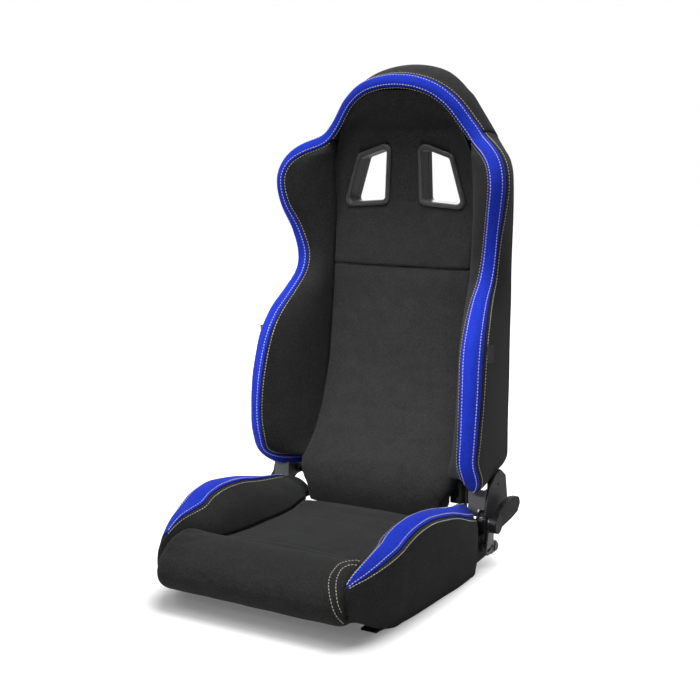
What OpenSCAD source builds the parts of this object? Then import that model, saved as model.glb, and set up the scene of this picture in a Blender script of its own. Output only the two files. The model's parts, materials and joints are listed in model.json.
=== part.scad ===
// Reclining bucket seat for a road or rally car, in millimetres.
// +X is the occupant's left, the seat faces -Y, +Z is up. The origin is the
// centre of the four base bolts, on the plane that the base rails stand on.

/* [Backrest outline] */
// Height of the bolsters' lower ends over the floor
edge_low_z = 167; // [160:1:180]
// Height of the fullest part of the lumbar bolsters
lumbar_z = 290; // [270:1:320]
// Height of the waist between lumbar and shoulder bolsters
waist_z = 590; // [570:1:610]
// Height of the widest part of the shoulder bolsters
shoulder_z = 735; // [715:1:750]
// Height of the neck, where the headrest starts
neck_z = 806; // [795:1:815]
// Height of the seam at the top of the headrest face
crown_z = 914; // [900:1:925]
// Half width across the lumbar bolsters' inner seams
lumbar_half = 216; // [205:1:222]
// Half width across the waist's inner seams
waist_half = 193; // [186:1:200]
// Half width across the shoulder bolsters' inner seams
shoulder_half = 223; // [212:1:230]
// Half width across the neck's inner seams
neck_half = 162; // [156:1:166]
// Depth position of the lumbar bolsters' front
lumbar_y = 141; // [130:1:155]
// Depth position of the waist's front
waist_y = 294; // [285:1:300]
// Depth position of the shoulder bolsters' front
shoulder_y = 247; // [235:1:260]
// Depth position of the neck's front
neck_y = 315; // [308:1:320]
// Depth position of the top seam of the headrest face
crown_y = 297; // [290:1:305]
// Depth position of the backrest's rear edge
rear_y = 384; // [380:1:390]
// Height of the backrest's top edge over the floor
top_z = 965; // [955:1:975]
// Half width of the backrest's rear edge
rear_half = 220; // [212:1:226]

/* [Backrest padding] */
// Half width of the centre panel at its long seams
panel_half = 155; // [148:1:158]
// Height of the cross seam between lower and upper panel
cross_seam_z = 563; // [540:1:580]
// How far the lower panel swells between its seams
panel_crown = 8; // [3:1:14]
// How far the bolsters' inner faces swell
bolster_crown = 7; // [2:1:12]
// Width of the rounded edge, from inner seam to flank
edge_w = 34; // [30:1:38]
// Thickness of the foam wall behind the flank
flank_wall = 12; // [8:1:14]
// Thickness of the coloured strip
trim_t = 3; // [2:0.5:4]
// Gap at a sewn seam between two panels
seam_gap = 0.6; // [0.4:0.1:1]

/* [Harness slots] */
// Height of a slot's centre over the floor
slot_z = 747; // [740:1:752]
// Distance of a slot's straight inner edge from the middle
slot_in = 31; // [28:1:36]
// Width of a slot's bezel at the top
slot_top_w = 76; // [66:1:80]
// Width of a slot's bezel at the bottom
slot_low_w = 106; // [92:1:108]
// Height of a slot's bezel
slot_h = 136; // [120:1:140]
// Width of the bezel's lip
lip_w = 10; // [8:0.5:12]
// How far the bezel's lip stands proud of the panel
lip_proud = 5; // [3:0.5:8]
// Wall of the bezel's sleeve
sleeve_t = 2.5; // [2:0.5:3.5]

/* [Back frame] */
// Diameter of the back frame's tube
tube_d = 22; // [18:1:24]
// Depth position of the frame tube's centre
tube_y = 371; // [369:1:372]
// Room between the frame's upright tubes and the foam walls beside them
tube_room = 5; // [3:1:11]
// Height of the upper cross tube
cross_high_z = 638; // [625:1:645]
// Height of the lower cross tube
cross_low_z = 215; // [200:1:240]
// Thickness of the rear cover
cover_t = 4; // [3:0.5:6]
// Thickness of an elastic strap
strap_t = 2; // [1.5:0.5:2.5]
// Width of an elastic strap
strap_w = 50; // [35:5:60]

/* [Seat base] */
// Half width of the seat cushion at its long seams
cushion_half = 148; // [140:1:152]
// Height of the cushion's top at its rear end
cushion_rear_z = 78; // [72:1:82]
// How far the cushion swells between its seams
cushion_crown = 6; // [2:1:10]
// Height of the seat bolsters' inner seam at its highest
bolster_top_z = 159; // [150:1:166]
// How far the bolster's coloured strip stands above its seams
bolster_rise = 12; // [6:1:16]
// Half width across the seat bolsters' outer faces
base_half = 248; // [244:1:254]
// Depth position of the front roll's nose
nose_y = -261; // [-275:1:-250]
// Height of the front roll's top
nose_z = 117; // [110:1:122]
// Half width of the front roll
nose_half = 166; // [160:1:172]
// Depth position of the cushion's rear end
cushion_end_y = 222; // [214:1:224]
// Height of the side covers' lower edge over the floor
skirt_z = 2; // [1:0.5:4]
// Thickness of the side covers
skirt_t = 4.5; // [4:0.5:8]

/* [Base rails] */
// Distance between the base bolts across the seat
bolt_x = 380; // [370:2:384]
// Distance between the base bolts along the seat
bolt_y = 290; // [260:5:310]
// Radius of a base bolt's hole
bolt_r = 4.25; // [4.1:0.05:5.25]
// Thickness of the rails' steel
rail_t = 4; // [3:0.5:5]
// Height of the rails
rail_h = 52; // [48:1:53]
// Distance of the rails' outer face from the middle
rail_x = 226; // [225:0.5:227]

/* [Recliner] */
// Depth position of the recliner's axis
axis_y = 235; // [234:0.5:236]
// Height of the recliner's axis
axis_z = 84; // [83:0.5:85]
// Thickness of the recliner's plates
plate_t = 4; // [3.5:0.5:4.5]
// Distance of the backrest arms' inner face from the middle
arm_x = 240; // [240:0.5:242]
// Radius over the tips of the toothed sector
sector_r = 40; // [38:0.5:42]
// Angle from one tooth to the next
tooth_pitch = 4; // [3:1:6]
// Height of a tooth
tooth_h = 2.4; // [2:0.1:2.6]
// Radius of the cross shaft
shaft_r = 4; // [3.5:0.25:5]
// Outer radius of the pivot bush
bush_r = 10; // [9:0.5:11]
// Radial running clearance of shafts and pins
run_gap = 0.05; // [0.02:0.01:0.1]
// Turns of the spiral spring
spring_turns = 4; // [3:1:5]
// Length of the lever from its axis to its tip
lever_len = 92; // [80:1:100]
// Width of the lever's paddle
lever_w = 36; // [30:1:40]

/* [Hidden] */
$fn = 48;

CLOTH = "#1d1d1f";
COVER = "#26262a";
STRIP = "#1a35c8";
STEEL = "#b9babc";
BLACK = "#141416";
PLASTIC = "#2b2b2d";

// Clearance between two pieces that lie against each other
seat_gap = 0.3;

// ---- small helpers ----

function mix(a, b, f) = a + (b - a) * f;
function flip(p) = [-p[0], p[1], p[2]];

// A point of a Catmull-Rom curve between p1 and p2
function curve(p0, p1, p2, p3, u) =
  0.5 * (2 * p1 + (p2 - p0) * u + (2 * p0 - 5 * p1 + 4 * p2 - p3) * u * u
    + (3 * p1 - p0 - 3 * p2 + p3) * u * u * u);

// The curve through a list's rows at row number t, which may be a fraction
function along(rows, t) =
  let (last = len(rows) - 1, i = min(floor(t), last - 1), u = t - i)
  curve(rows[max(i - 1, 0)], rows[i], rows[i + 1], rows[min(i + 2, last)], u);

// A cubic Bezier curve in a plane
function bezier(b, u) =
  b[0] * pow(1 - u, 3) + b[1] * 3 * u * pow(1 - u, 2) + b[2] * 3 * u * u * (1 - u) + b[3] * pow(u, 3);

// A closed solid between a front and a back grid of equal size. A hole is a
// block of cells left open: first row, last row, first column, last column.
// From the row turn on, the cells are split along their other diagonal.
module slab(front, back, holes = [], turn = 1000) {
  rows = len(front);
  cols = len(front[0]);
  count = rows * cols;
  grid = [for (row = front) each row, for (row = back) each row];
  faces = [
    for (r = [0:rows - 2], c = [0:cols - 2])
      let (a = r * cols + c, b = a + 1, d = a + cols, e = d + 1)
      if (!in_hole(holes, r, c))
        each (r < turn ? [[a, e, b], [a, d, e],
          [a + count, b + count, e + count], [a + count, e + count, d + count]] :
        [[a, d, b], [b, d, e], [a + count, b + count, d + count], [b + count, e + count, d + count]]),
    for (r = [0:rows - 2]) each [each wall(r * cols + cols, r * cols, count),
      each wall(r * cols + cols - 1, r * cols + 2 * cols - 1, count)],
    for (c = [0:cols - 2]) each [each wall(c, c + 1, count),
      each wall((rows - 1) * cols + c + 1, (rows - 1) * cols + c, count)],
    for (h = holes, r = [h[0]:h[1] - 1]) each [each wall(r * cols + h[2], (r + 1) * cols + h[2], count),
      each wall((r + 1) * cols + h[3], r * cols + h[3], count)],
    for (h = holes, c = [h[2]:h[3] - 1]) each [each wall(h[0] * cols + c + 1, h[0] * cols + c, count),
      each wall(h[1] * cols + c, h[1] * cols + c + 1, count)]];
  polyhedron(grid, faces, convexity = 8);
}
// Two triangles of a side wall between front points a and b and the back points behind them
function wall(a, b, count) = [[a, b, b + count], [a, b + count, a + count]];
function in_hole(holes, r, c) =
  len([for (h = holes) if (r >= h[0] && r < h[1] && c >= h[2] && c < h[3]) h]) > 0;

// Points along a path whose corners are rounded by arcs of radius bend
function bent_path(path, bend, steps = 6) = [
  path[0],
  for (i = [1:len(path) - 2])
    let (u = unit(path[i] - path[i - 1]), v = unit(path[i + 1] - path[i]), turn = acos(u * v),
      side = unit(v - u * (u * v)), start = path[i] - u * bend * tan(turn / 2))
    for (k = [0:steps]) start + side * bend * (1 - cos(turn * k / steps)) + u * bend * sin(turn * k / steps),
  path[len(path) - 1]];
// A round bar swept along points, as rings of a few sides
module swept_bar(points, r, sides = 14) {
  last = len(points) - 1;
  rings = [for (i = [0:last])
    let (d = unit(points[min(i + 1, last)] - points[max(i - 1, 0)]), a = unit(cross([0, 1, 0], d)),
      b = cross(d, a))
    for (k = [0:sides - 1]) points[i] + r * (a * cos(360 * k / sides) + b * sin(360 * k / sides))];
  faces = [
    [for (k = [0:sides - 1]) k],
    [for (k = [sides - 1:-1:0]) last * sides + k],
    for (i = [0:last - 1], k = [0:sides - 1])
      let (a = i * sides + k, b = i * sides + (k + 1) % sides)
      each [[b, a, a + sides], [b, a + sides, b + sides]]];
  polyhedron([for (p = rings) p], faces, convexity = 6);
}
function unit(v) = v / norm(v);
module axes(o, x, y, z) multmatrix([
  [x[0], y[0], z[0], o[0]], [x[1], y[1], z[1], o[1]], [x[2], y[2], z[2], o[2]], [0, 0, 0, 1]]) children();
module along_line(from, to) {
  d = unit(to - from);
  side = unit(abs(d[2]) < 0.9 ? cross([0, 0, 1], d) : cross([1, 0, 0], d));
  axes(from, side, cross(d, side), d) children();
}

// A polygon's outline with its corners rounded by arcs of radius r
function rounded(points, r, steps = 5) = [
  for (i = [0:len(points) - 1])
    let (p = points[i], a = unit(points[(i + len(points) - 1) % len(points)] - p),
      b = unit(points[(i + 1) % len(points)] - p), half = acos(a * b) / 2,
      middle = p + unit(a + b) * r / sin(half),
      from = p + a * r / tan(half) - middle, to = p + b * r / tan(half) - middle,
      start = atan2(from[1], from[0]), end = atan2(to[1], to[0]),
      sweep = (end - start + 540) % 360 - 180)
    for (k = [0:steps]) middle + r * [cos(start + sweep * k / steps), sin(start + sweep * k / steps)]];

// A plate square to X, from a drawing in Y and Z, for the right or left side
module side_plate(x, t, side) mirror([side < 0 ? 1 : 0, 0, 0])
  translate([x, 0, 0]) rotate([90, 0, 90]) linear_extrude(t) children();
// A round bar along X on one side
module side_bar(x, length, r, y, z, side) mirror([side < 0 ? 1 : 0, 0, 0])
  translate([x, y, z]) rotate([0, 90, 0]) cylinder(r = r, h = length);

// ---- the backrest's padded form ----

// Inner seam of the rounded edge from the right bolster's lower end to the
// middle of the headrest: x, y, z, depth of the edge's outer seam behind it,
// and x, y, z of the rear edge beside it
rear_low = [[158, rear_y - 39, 143], [190, rear_y - 21, 149], [212, rear_y - 7, 160],
  [rear_half, rear_y - 1, 182]];
HALF_EDGE = [
  [panel_half + 5, mix(lumbar_y, waist_y, 0.53), edge_low_z, 24, each rear_low[0]],
  [mix(panel_half, lumbar_half, 0.38), mix(lumbar_y, waist_y, 0.28), edge_low_z + 14, 24, each rear_low[1]],
  [mix(panel_half, lumbar_half, 0.74), mix(lumbar_y, waist_y, 0.12), edge_low_z + 31, 20, each rear_low[2]],
  [lumbar_half - 3, lumbar_y + 4, edge_low_z + 56, 16, each rear_low[3]],
  [lumbar_half, lumbar_y, lumbar_z - 18, 22, rear_half, rear_y, 240],
  [lumbar_half - 2, lumbar_y + 7, lumbar_z + 55, 26, rear_half, rear_y, 340],
  [mix(waist_half, lumbar_half, 0.62), lumbar_y + 26, mix(lumbar_z, waist_z, 0.44), 28, rear_half, rear_y,
    420],
  [mix(waist_half, lumbar_half, 0.38), mix(lumbar_y, waist_y, 0.36), mix(lumbar_z, waist_z, 0.6), 28,
    rear_half, rear_y, 475],
  [waist_half + 1, mix(lumbar_y, waist_y, 0.66), mix(lumbar_z, waist_z, 0.745), 24, rear_half, rear_y, 520],
  [waist_half - 2, mix(lumbar_y, waist_y, 0.91), mix(lumbar_z, waist_z, 0.865), 14, rear_half, rear_y, 555],
  [waist_half, waist_y, waist_z, 6, rear_half, rear_y, waist_z],
  [mix(waist_half, shoulder_half, 0.35), mix(waist_y, shoulder_y, 0.3), mix(waist_z, shoulder_z, 0.36), 14,
    rear_half, rear_y, 640],
  [mix(waist_half, shoulder_half, 0.82), mix(waist_y, shoulder_y, 0.84), mix(waist_z, shoulder_z, 0.7), 26,
    rear_half, rear_y, 690],
  [shoulder_half, shoulder_y, shoulder_z, 30, rear_half, rear_y, shoulder_z + 7],
  [shoulder_half - 8, shoulder_y + 9, shoulder_z + 31, 30, rear_half - 5, rear_y, shoulder_z + 38],
  [mix(shoulder_half, neck_half, 0.45), mix(shoulder_y, neck_y, 0.46), mix(shoulder_z, neck_z, 0.72), 26,
    rear_half - 16, rear_y, neck_z - 12],
  [neck_half, neck_y, neck_z, 20, neck_half + 28, rear_y, neck_z + 10],
  [neck_half - 26, neck_y + 6, neck_z + 31, 18, neck_half + 4, rear_y, neck_z + 48],
  [mix(0, neck_half, 0.62), mix(crown_y, neck_y, 0.7), mix(neck_z, crown_z, 0.69), 17, neck_half - 30,
    rear_y, mix(neck_z, top_z, 0.61)],
  [mix(0, neck_half, 0.36), crown_y + 2, crown_z - 9, 15, mix(0, neck_half, 0.48), rear_y, top_z - 15],
  [0, crown_y, crown_z, 15, 0, rear_y, top_z]];
TOP = len(HALF_EDGE) - 1;
NECK = TOP - 4;
function flip_row(row) = [-row[0], row[1], row[2], row[3], -row[4], row[5], row[6]];
EDGE = [each HALF_EDGE, for (i = [TOP - 1:-1:0]) flip_row(HALF_EDGE[i])];

// Direction square to the edge, outwards in the X-Z plane
NORMAL_REACH = 0.7;
function outward(t) =
  let (a = along(EDGE, max(t - NORMAL_REACH, 0)), b = along(EDGE, min(t + NORMAL_REACH, 2 * TOP)),
    d = unit([b[0] - a[0], b[2] - a[2]]))
  [d[1], 0, -d[0]];

// The panel's long seam, where the bolster's inner face starts: z, y
FOOT = [[87, 213], [105, 208], [127, 207], [151, 214], [175, 228], [197, 248], [216, 262], [276, 284],
  [328, 297],
  [384, 307], [506, 324], [563, 328], [672, 337], [714, 335], [747, 330], [776, 326], [803, 322], [830, 321]];
function foot_y(z) = lookup(z, FOOT);

// Front of the hollow behind the padding, where the frame and straps run
hollow_y = tube_y - tube_d / 2 - strap_t - 2 * seat_gap - 1;
tube_lean_z = 300;
tube_lean = 0.287;
function hollow_at(z) = hollow_y - max(0, tube_lean_z - z) * tube_lean;

// The rounded edge's line from inner seam to outer seam: distance outwards, depth
EDGE_STEPS = [0.08, 0.3, 0.55, 0.8, 1];
edge_rise = 13;
function edge_at(w, depth, f) =
  bezier([[0, 0], [0.08 * w, -edge_rise], [w, -edge_rise * 0.4], [w, depth]], f);
function edge_point(t, f) =
  let (row = along(EDGE, t), n = outward(t), p = edge_at(edge_w, row[3], f))
  [row[0], row[1], row[2]] + n * p[0] + [0, p[1], 0];
// The bed of the coloured strip, its thickness below the surface
function bed_point(t, f, depth = trim_t) =
  let (row = along(EDGE, t), n = outward(t), p = edge_point(t, f),
    core = [row[0], row[1], row[2]] + n * edge_w * 0.35 + [0, row[3] + 12, 0])
  p + unit(core - p) * depth;

// One cross-section of the edge, from the inner seam to the rear edge
function edge_front(t) =
  let (row = along(EDGE, t), n = outward(t), outer = edge_point(t, 1),
    below = outer + n * 1 + [0, 8, 0], rear = [row[4], row[5], row[6]])
  [[row[0], row[1], row[2]], each [for (f = EDGE_STEPS) bed_point(t, f)], below,
    mix(below, rear, 0.5) + n * 3, rear];
// The hollow's side beside the same cross-section
function edge_back(t, from) =
  let (row = along(EDGE, t), n = outward(t), y = hollow_at(row[2]),
    b = [row[4], 0, row[6]] - n * flank_wall, corner = [b[0], y, b[2]], last = [b[0], row[5] - 1, b[2]])
  [for (f = [0, 0.25, 0.5, 0.75]) mix(from, corner, f), corner,
    mix(corner, last, 0.25), mix(corner, last, 0.5), mix(corner, last, 0.75), last];

// A bolster's whole cross-section, from the panel's seam to the rear edge
FACE_STEPS = [0, 0.25, 0.5, 0.78];
function face_points(t) =
  let (row = along(EDGE, t), foot = [panel_half, foot_y(row[2]), row[2]], seam = [row[0], row[1], row[2]],
    d = seam - foot, swell = unit([d[1], -d[0] - 0.001, 0]) * bolster_crown * min(1, norm(d) / 60))
  [for (f = FACE_STEPS) mix(foot, seam, f) + swell * sin(180 * f)];
function face_backs(t) =
  let (row = along(EDGE, t), y = hollow_at(row[2]), n = outward(t),
    inner = [row[4], 0, row[6]] - n * flank_wall,
    from = [panel_half, y, row[2]], to = [inner[0], y, inner[2]])
  [for (f = [0:3]) mix(from, to, f * 0.15)];
function bolster_front(t) = [each face_points(t), each edge_front(t)];
function bolster_back(t) =
  let (backs = face_backs(t), row = along(EDGE, t), y = hollow_at(row[2]), n = outward(t),
    inner = [row[4], 0, row[6]] - n * flank_wall)
  [each backs, each edge_back(t, mix(backs[0], [inner[0], y, inner[2]], 0.6))];

BOLSTER_ROWS = [for (i = [0:2 * NECK]) i / 2];
module back_bolster(side) color(CLOTH) mirror([side < 0 ? 1 : 0, 0, 0]) difference() {
  slab([for (t = BOLSTER_ROWS) bolster_front(t)], [for (t = BOLSTER_ROWS) bolster_back(t)]);
  // Room for the steel bracket under the bolster's lower end
  translate([bracket_in - 2, bracket_front - 2, 0])
    cube([arm_x - bracket_in + 4, bracket_rear - bracket_front + 4, bracket_top + 2]);
  // Room for the frame tube's lower end
  along_line(tube_foot, tube_knee) cylinder(r = tube_d / 2 + 1, h = norm(tube_knee - tube_foot));
}

border_from = NECK + 0.06;
module head_border() color(CLOTH) {
  ts = [border_from, for (i = [2 * NECK + 1:4 * TOP - 2 * NECK - 1]) i / 2, 2 * TOP - border_from];
  slab([for (t = ts) edge_front(t)],
    [for (t = ts) let (row = along(EDGE, t)) edge_back(t, [row[0], hollow_at(row[2]), row[2]])],
    turn = 2 * (TOP - NECK));
}

TRIM_INSET = 0.02;
module back_trim() color(STRIP) {
  ts = [for (i = [0:4 * TOP]) min(max(i / 2, TRIM_INSET), 2 * TOP - TRIM_INSET)];
  slab([for (t = ts) [for (f = EDGE_STEPS) edge_point(t, f)]],
    [for (t = ts) [for (f = EDGE_STEPS) bed_point(t, f, trim_t - seat_gap)]], turn = 2 * TOP);
}

// Half width of the upper panel at a height: the long seam, then the headrest's seam
HEAD_SEAM = [for (i = [0:8]) let (row = along(EDGE, NECK + i / 2)) [row[2], row[0], row[1]]];
function head_half(z) = lookup(z, [for (p = HEAD_SEAM) [p[0], p[1]]]);
function head_y(z) = lookup(z, [for (p = HEAD_SEAM) [p[0], p[2]]]);
function panel_side(z) = (z < neck_z ? panel_half : head_half(z)) - seam_gap;
function panel_edge_y(z) = z < neck_z ? foot_y(z) : head_y(z);
// Depth of the upper panel's middle: z, y
dish_y = 348;
DISH = [[563, 321], [600, 331], [640, 341], [672, dish_y], [833, dish_y], [845, 337], [860, 323],
  [885, 310], [905, 301], [914, 297]];
COLUMNS = [-1, -0.97, -0.9, -0.78, -0.55, -0.28, 0, 0.28, 0.55, 0.78, 0.9, 0.97, 1];

lower_rows = [87, 94, 106, 122, 136, 146, 163, 182, 206, 236, 276, 328, 384, 450, 506, cross_seam_z - 14,
  cross_seam_z - 3, cross_seam_z - seam_gap];
panel_foot_z = 163;
panel_foot_slope = 0.12;
panel_foam = 46;
// The lower panel rounds in at its lower end and dips at the cross seam
function lower_y(z, f) =
  foot_y(z) - panel_crown * (1 - pow(abs(f), 4)) * min(1, (cross_seam_z - z) / 24 + 0.2);
module back_panel_lower() color(CLOTH)
  slab([for (z = lower_rows) [for (f = COLUMNS) [f * panel_side(z), lower_y(z, f), z]]],
    [for (z = lower_rows) [for (f = COLUMNS) [f * panel_side(z),
      min(hollow_at(z), foot_y(z) + panel_foam), z + max(0, panel_foot_z - z) * panel_foot_slope]]]);

// ---- the harness slots and their bezels ----

slot_front = dish_y;
sleeve_room = lip_w - sleeve_t - seat_gap;
// Outline of a bezel, right side, counter-clockwise from the lower inner corner: x, z
BEZEL = [[slot_in + 3, slot_z - slot_h / 2 + 8], [slot_in + 3 + slot_low_w, slot_z - slot_h / 2],
  [slot_in + slot_top_w, slot_z + slot_h / 2 - 26], [slot_in - 2, slot_z + slot_h / 2]];
corner_r = 15;
// The outline moved inwards by a distance
function inset(points, d) = [
  for (i = [0:len(points) - 1])
    let (p = points[i], a = unit(points[(i + len(points) - 1) % len(points)] - p),
      b = unit(points[(i + 1) % len(points)] - p), half = acos(a * b) / 2)
    p + unit(a + b) * d / sin(half)];
module bezel_outline(d) polygon(rounded(inset(BEZEL, d), corner_r - max(d, -2) * 0.8));
module slot_cut(d, from, to)
  translate([0, to, 0]) rotate([90, 0, 0]) linear_extrude(to - from) bezel_outline(d);
module bezel_ring(outer, inner, from, to) difference() {
  slot_cut(outer, from, to);
  slot_cut(inner, from - 1, to + 1);
}
sleeve_end = mix(slot_front, rear_y + cover_t, 0.62);
lip_back = slot_front - 1;
module harness_bezel(side) color(PLASTIC) mirror([side < 0 ? 1 : 0, 0, 0]) union() {
  bezel_ring(0, lip_w, lip_back - lip_proud + 2, lip_back);
  bezel_ring(2, lip_w - 1.5, lip_back - lip_proud, lip_back - lip_proud + 2);
  bezel_ring(lip_w - sleeve_t, lip_w, lip_back, sleeve_end);
}
cover_rear = rear_y + cover_t + 2 * seat_gap;
module rear_bezel(side) color(PLASTIC) mirror([side < 0 ? 1 : 0, 0, 0]) union() {
  bezel_ring(0, lip_w, cover_rear, cover_rear + 3);
  bezel_ring(lip_w - sleeve_t, lip_w, sleeve_end + seat_gap, cover_rear);
}

// ---- the upper panel ----

// The upper panel's grid follows the slots: rows under, through and over them, and
// columns along their inner and outer edges
SLOT_HOLE = inset(BEZEL, sleeve_room);
slot_row_low = 5;
slot_row_high = 8;
upper_rows = [cross_seam_z + seam_gap, cross_seam_z + 3, 585, 620, 655, slot_z - 60, slot_z - 20, slot_z + 20,
  slot_z + 55, 832, 848, 866, 882, 896, 906, crown_z - 3];
// Height of a row at a distance from the middle: bent to the slot's ends
function slot_line(x, from, to) = lookup(x, [from, to]);
function row_height(i, x) =
  i == slot_row_low ? slot_line(x, SLOT_HOLE[0], SLOT_HOLE[1]) :
  i == slot_row_high ? slot_line(x, SLOT_HOLE[3], SLOT_HOLE[2]) : upper_rows[i];
function hole_x(z, low, high) = lookup(z, [[low[1], low[0]], [high[1], high[0]]]);
// Distances of a row's columns from the middle
function upper_columns(i) =
  let (z = upper_rows[i], side = panel_side(z),
    inner = i == slot_row_low ? SLOT_HOLE[0][0] : i == slot_row_high ? SLOT_HOLE[3][0] :
      hole_x(z, SLOT_HOLE[0], SLOT_HOLE[3]),
    outer = i == slot_row_low ? SLOT_HOLE[1][0] : i == slot_row_high ? SLOT_HOLE[2][0] :
      hole_x(z, SLOT_HOLE[1], SLOT_HOLE[2]),
    a = min(inner, side * 0.3), b = min(outer, side * 0.86),
    half = [a, (a + b) / 2, b, mix(b, side, 0.5), mix(b, side, 0.85), side])
  [for (k = [5:-1:0]) -half[k], 0, each half];
// The panel is dished, and steepens close to its seams
function dish_power(z) = lookup(z, [[600, 6], [665, 40], [805, 40], [850, 6]]);
function upper_y(z, x) =
  mix(lookup(z, DISH), panel_edge_y(z), pow(min(1, abs(x) / panel_side(z)), dish_power(z)))
    + 3 * max(0, 1 - (z - cross_seam_z) / 8);
slot_pad_rear = rear_y - 1;
// The foam is thicker where the harness slots run through it
function upper_back(i, k) =
  k > 2 && k < 10 && i >= slot_row_low && i <= slot_row_high ? slot_pad_rear : hollow_at(upper_rows[i]);
module back_panel_upper() color(CLOTH) {
  grid = [for (i = [0:len(upper_rows) - 1]) let (xs = upper_columns(i))
    [for (k = [0:12]) let (z = row_height(i, abs(xs[k]))) [xs[k], upper_y(z, xs[k]), z]]];
  slab(grid, [for (i = [0:len(grid) - 1])
      [for (k = [0:12]) [grid[i][k][0], upper_back(i, k), grid[i][k][2]]]],
    [[slot_row_low, slot_row_high, 3, 5], [slot_row_low, slot_row_high, 7, 9]]);
}

// ---- the backrest's cover, frame, straps and tags ----

// Outline of the rear cover, from the middle of its lower edge up: half width, height
cover_low_z = 147;
COVER_EDGE = [[150, cover_low_z], [186, cover_low_z + 2], [208, cover_low_z + 14], [rear_half, 186],
  [rear_half + 1, 240], [rear_half + 1, 480], [rear_half + 1, shoulder_z - 20], [rear_half, shoulder_z + 14],
  [rear_half - 9, neck_z - 27], [neck_half + 28, neck_z + 6], [neck_half + 3, neck_z + 48],
  [neck_half - 30, mix(neck_z, top_z, 0.61)], [mix(0, neck_half, 0.48), top_z - 15], [0, top_z],
  [-mix(0, neck_half, 0.48), top_z - 15]];
COVER_HALF = [for (i = [0:3 * (len(COVER_EDGE) - 2)]) along(COVER_EDGE, i / 3)];
// The apron runs forward under the padding: depth, height
APRON = [[rear_y + 2, cover_low_z], [364, 141], [334, 133], [298, 126]];
apron_half = panel_half - 9;
module back_cover() color(COVER) {
  difference() {
    translate([0, rear_y + seat_gap + cover_t, 0]) rotate([90, 0, 0]) linear_extrude(cover_t)
      polygon([each COVER_HALF, for (i = [len(COVER_HALF) - 2:-1:0]) [-COVER_HALF[i][0], COVER_HALF[i][1]]]);
    for (side = [-1, 1]) mirror([side < 0 ? 1 : 0, 0, 0]) slot_cut(sleeve_room, rear_y - 6, rear_y + 20);
  }
  translate([-apron_half, 0, 0]) rotate([90, 0, 90]) linear_extrude(2 * apron_half)
    polygon([each APRON, for (i = [len(APRON) - 1:-1:0]) APRON[i] - [0, cover_t - 0.5]]);
}

tube_half = rear_half - flank_wall - tube_d / 2 - tube_room;
bracket_in = arm_x - 35;
bracket_front = axis_y - 13;
bracket_rear = axis_y + 92;
bracket_top = 152;
tube_foot = [arm_x - 4 - plate_t - tube_d / 2, axis_y + 74, 104];
tube_knee = [tube_half, tube_y, tube_lean_z - 12];
// The hoop runs over the harness slots
hoop_shoulder_z = slot_z - 2;
hoop_over_slots = 65;
hoop_top_z = slot_z + slot_h / 2 + hoop_over_slots;
hoop_top_half = neck_half / 2;
tube_bend = 60;
module back_frame() color(BLACK) {
  half = [tube_foot, tube_knee, [tube_half, tube_y, hoop_shoulder_z], [hoop_top_half, tube_y, hoop_top_z]];
  swept_bar(bent_path([each half, for (i = [3:-1:0]) flip(half[i])], tube_bend), tube_d / 2);
}
// Two tubes across the frame, welded between its uprights
cross_d = tube_d - 8;
module back_cross_tubes() color(BLACK)
  for (z = [cross_low_z, cross_high_z])
    let (f = max(0, (tube_knee[2] - z) / (tube_knee[2] - tube_foot[2])),
      middle = mix(tube_knee, tube_foot, f),
      x = (z < tube_knee[2] ? middle[0] - 1.6 : tube_half) - tube_d / 2 - seat_gap,
      y = z < tube_knee[2] ? middle[1] : tube_y)
    translate([-x, y, z]) rotate([0, 90, 0]) cylinder(d = cross_d, h = 2 * x);

strap_low_z = 330;
strap_pitch = 90;
strap_over = 8;
module back_straps() color(BLACK)
  for (i = [0:2]) let (z = strap_low_z + i * strap_pitch)
    translate([-tube_half - strap_over, tube_y - tube_d / 2 - strap_t - seat_gap, z - strap_w / 2])
      cube([2 * (tube_half + strap_over), strap_t, strap_w]);

// Small woven loops on the edge's outer seam
tag_z = 424;
tag_h = 34;
tag_out = 11;
tag_t = 1.2;
tag_turn = 38;
TAG_SEAT = [4, -1];
module side_tags() color(BLACK) for (side = [-1, 1]) mirror([side < 0 ? 1 : 0, 0, 0]) {
  p = edge_point(6.1, 1);
  translate([p[0] + TAG_SEAT[0], p[1] + TAG_SEAT[1], tag_z - tag_h / 2]) rotate([0, 0, tag_turn])
    cube([tag_out, tag_t, tag_h]);
}

// ---- the seat base's padded form ----

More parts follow.
